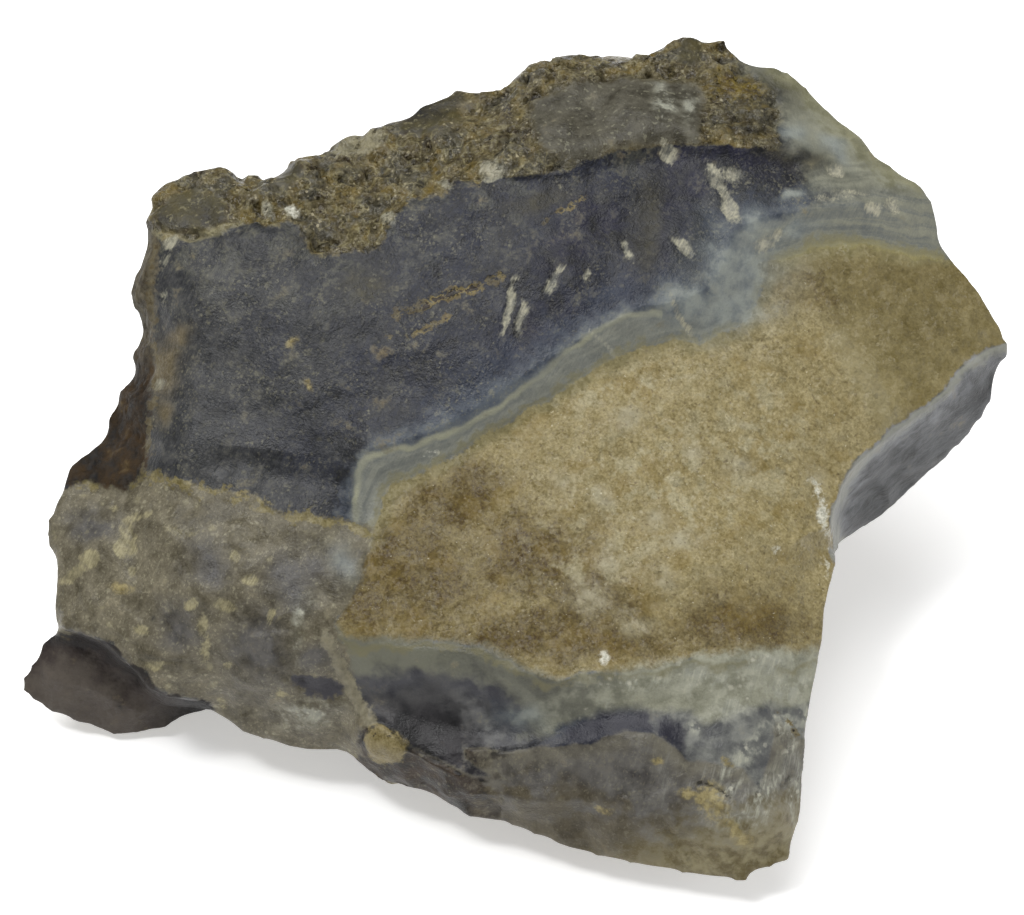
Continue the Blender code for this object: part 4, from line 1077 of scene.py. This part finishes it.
brown_end = step_up(across_face + (spots - 0.5) * 3, 0.0, -5.0) * in_slab
colour = paint(colour, between((22, 16, 7), (70, 60, 40), soft_spots), brown_end * 0.9)
slab_specks = specks(0.8, 0.4) * 0.5 + flecks(0.34, 0.60, 0.08) * 0.35 + strokes * 0.3
colour = paint(colour, seen(132, 128, 110), slab_specks.clipped() * in_slab * 0.7)
print(len(graph.nodes), "nodes with the slab")

# %% [markdown]
# The block on the left is brown-grey with violet, clearer parts and a golden upper edge, which also carries a
# painted highlight. The lobe under it, the dark flank beside the blue and the undercut on the right are
# planes that lean away from the light. The lobe is painted darker under the block as shade, and the undercut
# goes from a painted highlight on its rim to painted shade deeper under the overhang.

# %% The block, the lobe, the flank and the undercut
block_pattern = mixed(patches, spots, dust, grain, shares=(0.35, 0.3, 0.2, 0.15))
block_own = between((74, 70, 60), (130, 124, 107), block_pattern)
violet = kept_number("violet")
violet_own = between((62, 62, 65), (102, 101, 101), mixed(spots, patches))
block_own = paint(block_own, violet_own, (violet * (0.8 + 0.6 * patches)).clipped() * 0.8)
plainer = 1 - violet * 0.7
block_own = paint(block_own, seen(150, 144, 118), specks(1.5, 0.42) * plainer * (0.15 + 0.5 * patches))
block_specks = specks(0.6, 0.48) * 0.5 + flecks(0.34, 0.60, 0.08) * 0.4 + strokes * 0.45
block_own = paint(block_own, seen(166, 161, 138), (block_specks * plainer).clipped() * (0.3 + 0.6 * patches))
colour = paint(colour, block_own, inside("block", 0.3))
# A golden rim with a painted highlight along the block's top edge.
golden_edge_highlight = step_up(kept_number("golden edge highlight") + (spots - 0.5) * 1.1 + (grain - 0.5) * 0.5, 0.6, 0.0)
colour = paint(colour, between((116, 106, 70), (150, 140, 102), grain), golden_edge_highlight * 0.7)
# Painted shade: the lobe is darker under the block and lighter away from it.
lobe_away_from_shade = step_up(kept_number("block") + (patches - 0.5) * 2.0, -0.3, -4.5)
lobe_shade_and_pattern = mixed(lobe_away_from_shade, swell, spots, dust, shares=(0.5, 0.2, 0.2, 0.1))
colour = painted_region(colour, "lobe", (58, 50, 42), (100, 94, 87), lobe_shade_and_pattern)
lobe_depth = kept_number("lobe") + (spots - 0.5) * 0.4
in_lobe = step_up(lobe_depth, -0.1, 0.1)
# A painted shadow along the lobe's top, under the block's edge.
lobe_top_shadow = step_up(lobe_depth, 1.7, 0.3) * step_up(up_face + across_face * 0.1, -28.0, -25.0)
colour = paint(colour, seen(48, 39, 28), in_lobe * lobe_top_shadow * 0.7)
# Painted shade: the lobe's right end, deepest under the block, is darkened.
colour = paint(colour, seen(32, 24, 12), in_lobe * step_up(across_face, -38.0, -31.0) * 0.9)
flank_own = between((46, 40, 28), (78, 66, 45), mixed(grain, spots, patches, shares=(0.2, 0.4, 0.4)))
flank_top = between((66, 61, 50), (118, 113, 98), mixed(grain, spots))
flank_own = paint(flank_own, flank_top, step_up(up_face, 7.0, 15.0) * 0.75)
colour = paint(colour, flank_own, inside("flank", 0.3))
undercut = kept_number("undercut")
along_it = step_up(streaks(41, 7.0, 0.7, 3), 0.36, 0.64)
# Painted light and shade: the undercut is light by its rim and darkens deeper under the overhang.
undercut_rim_lit_to_shaded = step_up(core_depth + (spots - 0.5) * 0.8, -2.4, 0.3)
undercut_shade_and_pattern = mixed(undercut_rim_lit_to_shaded, along_it, spots, patches, shares=(0.56, 0.08, 0.18, 0.18))
colour = painted_region(colour, "undercut", (26, 23, 18), (144, 146, 149), undercut_shade_and_pattern)
# A painted highlight along the undercut's rim.
undercut_rim_highlight = step_up(core_depth + (grain - 0.5) * 0.3, -1.2, -0.3) * step_up(undercut, -0.1, 0.2)
colour = paint(colour, seen(154, 154, 140), undercut_rim_highlight * 0.6)
print(len(graph.nodes), "nodes with the block and the planes beside it")

# %% [markdown]
# The back of the stone is the outside of the vein, weathered to a dull rind: brown and grey grains on low
# lumps, with rusty stains, small dark pits and pale rubbed tips.

# %% The weathered rind
rind_pattern = mixed(spots, grain, dust, patches, shares=(0.25, 0.3, 0.3, 0.15))
rind_own = between((90, 83, 64), (146, 137, 112), rind_pattern)
rind_own = paint(rind_own, seen(122, 120, 112), step_up(swell + (grain - 0.5) * 0.3, 0.45, 1.0) * 0.55)
rind_own = paint(rind_own, seen(124, 104, 68), step_up(mottle(11.0, 4), 0.5, 0.62) * (0.3 + 0.4 * grain))
rind_own = paint(rind_own, seen(82, 73, 56), step_up(mottle(16.0, 3), 0.52, 0.64) * (0.3 + 0.4 * spots))
rind_own = paint(rind_own, seen(62, 53, 38), step_up(mottle(1.0, 3, 0.6), 0.40, 0.3) * 0.7)
rind_own = paint(rind_own, seen(176, 169, 146), specks(1.1, 0.3) * 0.6)
rind_place = kept_number("rind") + wobble + (patches - 0.5) * 1.4 + (spots - 0.5) * 0.8
colour = paint(colour, rind_own, step_up(rind_place, -0.9, 0.9))
print(len(graph.nodes), "nodes with the regions")

# %% [markdown]
# The marks go on last, the soft ones first. Milky chalcedony is full of fine cloud, and a feathery break is
# a nest of small cracks seen through a little clear stone.

# %% Milk, feathery breaks and gold
glass_pattern = mixed(swell, spots, patches, shares=(0.4, 0.3, 0.3))
crust_glass = between((22, 18, 7), (84, 79, 58), glass_pattern)
crust_glass = paint(crust_glass, seen(148, 142, 112), flecks(0.5, 0.60, 0.08) * 0.4)
colour = paint(colour, crust_glass, step_up(kept_number("glassy") + wobble, 0.0, 0.5) * 0.85)
pale_nodule = step_up(kept_number("pale nodule") + wobble, 0.0, 0.5)
colour = paint(colour, seen(150, 145, 122), pale_nodule * 0.7)
milk = kept_number("milk")
milk_pattern = mixed(spots, patches, fibre, shares=(0.4, 0.4, 0.2))
milk_own = between((102, 109, 114), (142, 147, 142), milk_pattern)
colour = paint(colour, milk_own, (milk * (0.7 + 0.3 * patches)).clipped() * 0.9)
thick_milk = step_up(milk + (patches - 0.5) * 0.4 + (spots - 0.5) * 0.4, 0.5, 1.3)
colour = paint(colour, seen(146, 150, 142), thick_milk * 0.45)
feather = kept_number("feather")
crumbly = step_up(mixed(spots, patches, grain, shares=(0.45, 0.4, 0.15)), 0.3, 0.75)
fibrous = mixed(fibre, spots, shares=(0.65, 0.35))
on_slab = step_up(slab_depth, -0.5, 0.5)
white_break = (feather * (0.15 + 1.1 * (crumbly + (fibrous - crumbly) * on_slab))).clipped()
break_own = between((134, 136, 128), (176, 176, 160), mixed(spots, fibre))
colour = paint(colour, break_own, white_break * 0.8)
colour = paint(colour, seen(192, 190, 174), specks(0.7, 0.5) * feather * 0.6)
gold_tint = between((106, 93, 56), (168, 156, 114), mixed(grain, spots))
crust_gold = between((70, 59, 26), (124, 110, 60), mixed(grain, spots))
gold_tint = paint(gold_tint, crust_gold, step_up(crust_depth, -0.5, 0.5))
gold_place = step_up(kept_number("gold") * (0.6 + grain * 0.5), 0.15, 0.8)
colour = paint(colour, gold_tint, gold_place * 0.8)
soot_place = (kept_number("soot") * (0.2 + 1.0 * spots)).clipped()
colour = paint(colour, seen(36, 33, 27), soot_place * 0.75)
print(len(graph.nodes), "nodes with the soft marks")

# %% [markdown]
# Then come the thin marks: rusty veinlets with dark pits along their middle, worn edges, the left one
# lightened with a painted highlight too, cracks, and a small window, strand and knob where the slab and the
# block meet.

# %% Veinlets, edges and cracks
veinlet = kept_number("veinlet")
vein_edge = step_up(veinlet + (spots - 0.5) * 0.7 + (grain - 0.5) * 0.5, 0.4, 0.1)
vein_own = between((90, 78, 44), (156, 143, 100), mixed(grain, spots))
colour = paint(colour, vein_own, vein_edge * (0.35 + 0.6 * patches))
vein_pits = step_up(veinlet + (spots - 0.5) * 0.4 + (grain - 0.5) * 0.3, 0.06, -0.06)
colour = paint(colour, between((41, 37, 27), (70, 60, 38), spots), vein_pits * 0.95)
lens_rim = step_up(kept_number("lens rim") + (spots - 0.5) * 0.3, 0.5, 0.05)
colour = paint(colour, seen(148, 142, 114), lens_rim * 0.55)
# Pale flakes along the left rim, with a painted highlight along the edge.
edge_flakes_and_highlight = step_up(kept_number("left edge") + (grain - 0.5) * 0.4 + (spots - 0.5) * 0.8, 0.35, -0.1)
edge_flake_and_highlight_own = between((92, 82, 62), (140, 134, 112), mixed(spots, grain))
colour = paint(colour, edge_flake_and_highlight_own, edge_flakes_and_highlight * 0.7)
colour = paint(colour, seen(78, 77, 80), inside("window", 0.25))
strand_own = between((110, 105, 90), (140, 135, 116), mixed(spots, grain))
colour = paint(colour, strand_own, step_up(kept_number("strand") + wobble * 0.8, -0.2, 0.3) * 0.85)
knob_own = between((104, 94, 66), (146, 135, 102), mixed(spots, dust))
knob_own = paint(knob_own, seen(54, 42, 26), flecks(0.5, 0.66) * 0.7)
colour = paint(colour, knob_own, step_up(kept_number("knob") + wobble * 0.5, -0.15, 0.15))
knob_gap = kept_number("knob").math("ABSOLUTE") + (spots - 0.5) * 0.3
colour = paint(colour, seen(34, 27, 18), step_up(knob_gap, 0.22, 0.03) * 0.65)
crack_place = step_up(kept_number("crack") - (grain - 0.5) * 0.2 + (spots - 0.5) * 0.25, 0.18, 0.0)
colour = paint(colour, seen(34, 27, 18), crack_place * (0.35 + 0.5 * patches))
print(len(graph.nodes), "nodes with the thin marks")

# %% [markdown]
# A fresh chip is cream and nearly opaque, because its many small cracks scatter the light. Last of all, the
# hollows are darkened with painted shade and a little dirt, and raised tips are lightened, partly as rubbed
# wear and partly as a painted highlight.

# %% Chips, painted shade in hollows, and pale tips
chip_shape = kept_number("chip") + (spots - 0.5) * 0.2 + (slant - 0.5) * 0.12
chip_pattern = mixed(slant, spots, fibre, shares=(0.4, 0.3, 0.3))
chip_own = between((112, 113, 106), (176, 172, 150), chip_pattern)
chip_own = paint(chip_own, seen(186, 182, 162), step_up(chip_shape, 0.25, 0.6) * 0.6)
block_chip = between((112, 105, 80), (164, 156, 122), mixed(slant, spots))
chip_own = paint(chip_own, block_chip, step_up(kept_number("block"), -0.5, 0.5) * 0.85)
colour = paint(colour, chip_own, step_up(chip_shape, -0.12, 0.24) * (0.45 + 0.5 * spots))
# White spots, and a painted highlight along the notch's edge.
white_spot_and_highlight_shape = kept_number("white spot and highlight") + (spots - 0.5) * 0.5 + (grain - 0.5) * 0.3
white_spot_and_highlight_own = between((178, 178, 164), (226, 224, 210), dust)
colour = paint(colour, white_spot_and_highlight_own, step_up(white_spot_and_highlight_shape, -0.2, 0.35) * 0.85)
# Painted shade, with a little dirt, darkens the hollows.
colour = paint(colour, seen(26, 20, 12), step_up(fine_hollow, 0.03, 0.32) * 0.42)
colour = paint(colour, seen(34, 30, 22), step_up(wide_hollow, 0.1, 0.6) * 0.35)
# Raised tips are lightened: partly rubbed wear, partly a painted highlight.
off_flank = step_up(kept_number("flank"), 0.2, -0.4)
colour = paint(colour, seen(160, 152, 122), step_up(fine_hollow, -0.05, -0.3) * off_flank * 0.3)
print(len(graph.nodes), "nodes for the colour")

# %% [markdown]
# Quartz glitters because its facets are flat and glossy and chalcedony has the dull gloss of wax, while a
# weathered rind has neither. Each small grain tips the normal its own way, so that a few of them happen to
# mirror the lamp. A Bump node adds the last fine grain that the net of points is too coarse for.

# %% Gloss, grain and the finish as a whole
QUARTZ_IOR = 1.54
GLOSS = 0.22
crystalline = step_up(crust_depth, -0.1, 0.2) * step_up(kept_number("panel"), 0.6, -0.3)
crystalline = crystalline * step_up(kept_number("glassy"), 0.1, -0.1)
dark_side = step_up(kept_number("flank"), -0.1, 0.2) + in_lobe * 0.8
sugary = step_up(core_depth, -0.1, 0.2)
dull = step_up(kept_number("rind"), -0.3, 0.6)
roughness = 0.46 + (spots - 0.5) * 0.14 - crystalline * 0.16 + dull * 0.3 + dark_side * 0.25
tipping = (0.04 + crystalline * 0.75 + sugary * 0.35 + dark_side * 0.3) * (1 - dull * 0.7)
tipped = vector_math("ADD", facets(0.3), facets(0.85))
tipped = Value.make("ShaderNodeVectorMath", {"operation": "SCALE"}, {0: tipped, "Scale": tipping})
plain_normal = Value.make("ShaderNodeNewGeometry", output="Normal")
normal = vector_math("NORMALIZE", vector_math("ADD", plain_normal, tipped))
grain_height = dust * (0.04 + dull * 0.08) + grain * (0.05 + crystalline * 0.12 + dull * 0.25)
grain_height = grain_height + dull * spots * 0.5
bump = {"Strength": 0.45, "Distance": 1 * MM, "Height": grain_height, "Normal": normal}
normal = Value.make("ShaderNodeBump", None, bump, output="Normal")
finish = {"Base Color": colour, "Roughness": roughness, "Normal": normal}
finish |= {"IOR": QUARTZ_IOR, "Specular IOR Level": GLOSS}
shader = Value.make("ShaderNodeBsdfPrincipled", None, finish)
Value.make("ShaderNodeOutputMaterial", None, {"Surface": shader})
print(len(graph.nodes), "nodes in all")

# %% [markdown]
# The finished mesh stands in for the solid. It rides on the same body, stays where the solid is, and has one
# slot for its material, so that another finish can be put in its place.

# %% The stone
stone_mesh.materials.clear()
stone_mesh.materials.append(material)
for face in stone_mesh.polygons:
    face.use_smooth = True
stone = bpy.data.objects.new("agate_stone", stone_mesh)
bpy.context.scene.collection.objects.link(stone)
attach(stone, "root")
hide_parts("agate")
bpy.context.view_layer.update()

# %% [markdown]
# The stone lies on a plain pale floor. A dim, even sky fills the shade, as in a light tent, and a large soft
# lamp above gives the forms. A smaller one makes the facets glitter, and a low one on the right reaches
# under the overhang there.

# %% Floor, light and camera
FLOOR_SIZE = 4.0
FLOOR_GAP = 0.0002
FLOOR_GLOW = 0.42
SKY_STRENGTH = 0.30
VIEW_WIDTH = 102.4
SENSOR = 36.0
floor_mesh = bpy.data.meshes.new("floor")
half = FLOOR_SIZE / 2
corners = [(-half, -half, 0), (half, -half, 0), (half, half, 0), (-half, half, 0)]
floor_mesh.from_pydata(corners, [], [(0, 1, 2, 3)])
floor = bpy.data.objects.new("floor", floor_mesh)
floor.location.z = -FLOOR_GAP
floor_material = bpy.data.materials.new("pale_floor")
floor_material.use_nodes = True
floor_shader = floor_material.node_tree.nodes["Principled BSDF"]
floor_shader.inputs["Base Color"].default_value = (0.9, 0.9, 0.9, 1)
floor_shader.inputs["Roughness"].default_value = 0.9
floor_shader.inputs["Emission Color"].default_value = (1, 1, 1, 1)
floor_shader.inputs["Emission Strength"].default_value = FLOOR_GLOW
floor_mesh.materials.append(floor_material)
bpy.context.scene.collection.objects.link(floor)

world = bpy.data.worlds.new("light_tent")
world.use_nodes = True
world.node_tree.nodes["Background"].inputs["Color"].default_value = (1, 1, 1, 1)
world.node_tree.nodes["Background"].inputs["Strength"].default_value = SKY_STRENGTH
bpy.context.scene.world = world


def soft_lamp(name, place, size, watts):
    """A square lamp that looks at the middle of the face. Place and size are in metres."""
    data = bpy.data.lights.new(name, "AREA")
    data.size = size
    data.energy = watts
    lamp = bpy.data.objects.new(name, data)
    lamp.location = place
    lamp.rotation_euler = (Vector(FACE_MIDDLE * MM) - Vector(place)).to_track_quat("-Z", "Y").to_euler()
    bpy.context.scene.collection.objects.link(lamp)


soft_lamp("lamp_above", (-0.2, 0.12, 0.9), 0.8, 9.2)
soft_lamp("lamp_small", (-0.25, -0.2, 0.8), 0.12, 2.0)
soft_lamp("lamp_right", (0.7, -0.25, 0.35), 0.4, 1.5)

camera_data = bpy.data.cameras.new("camera")
camera_data.sensor_width = SENSOR
camera_data.lens = SENSOR * EYE_DISTANCE / VIEW_WIDTH
camera = bpy.data.objects.new("camera", camera_data)
camera.location = EYE * MM
camera.rotation_euler = (math.pi / 2 - FACE_LEAN, 0, 0)
bpy.context.scene.collection.objects.link(camera)
bpy.context.scene.camera = camera
bpy.context.scene.view_settings.view_transform = "Standard"
print("camera at", [round(part, 3) for part in EYE * MM])
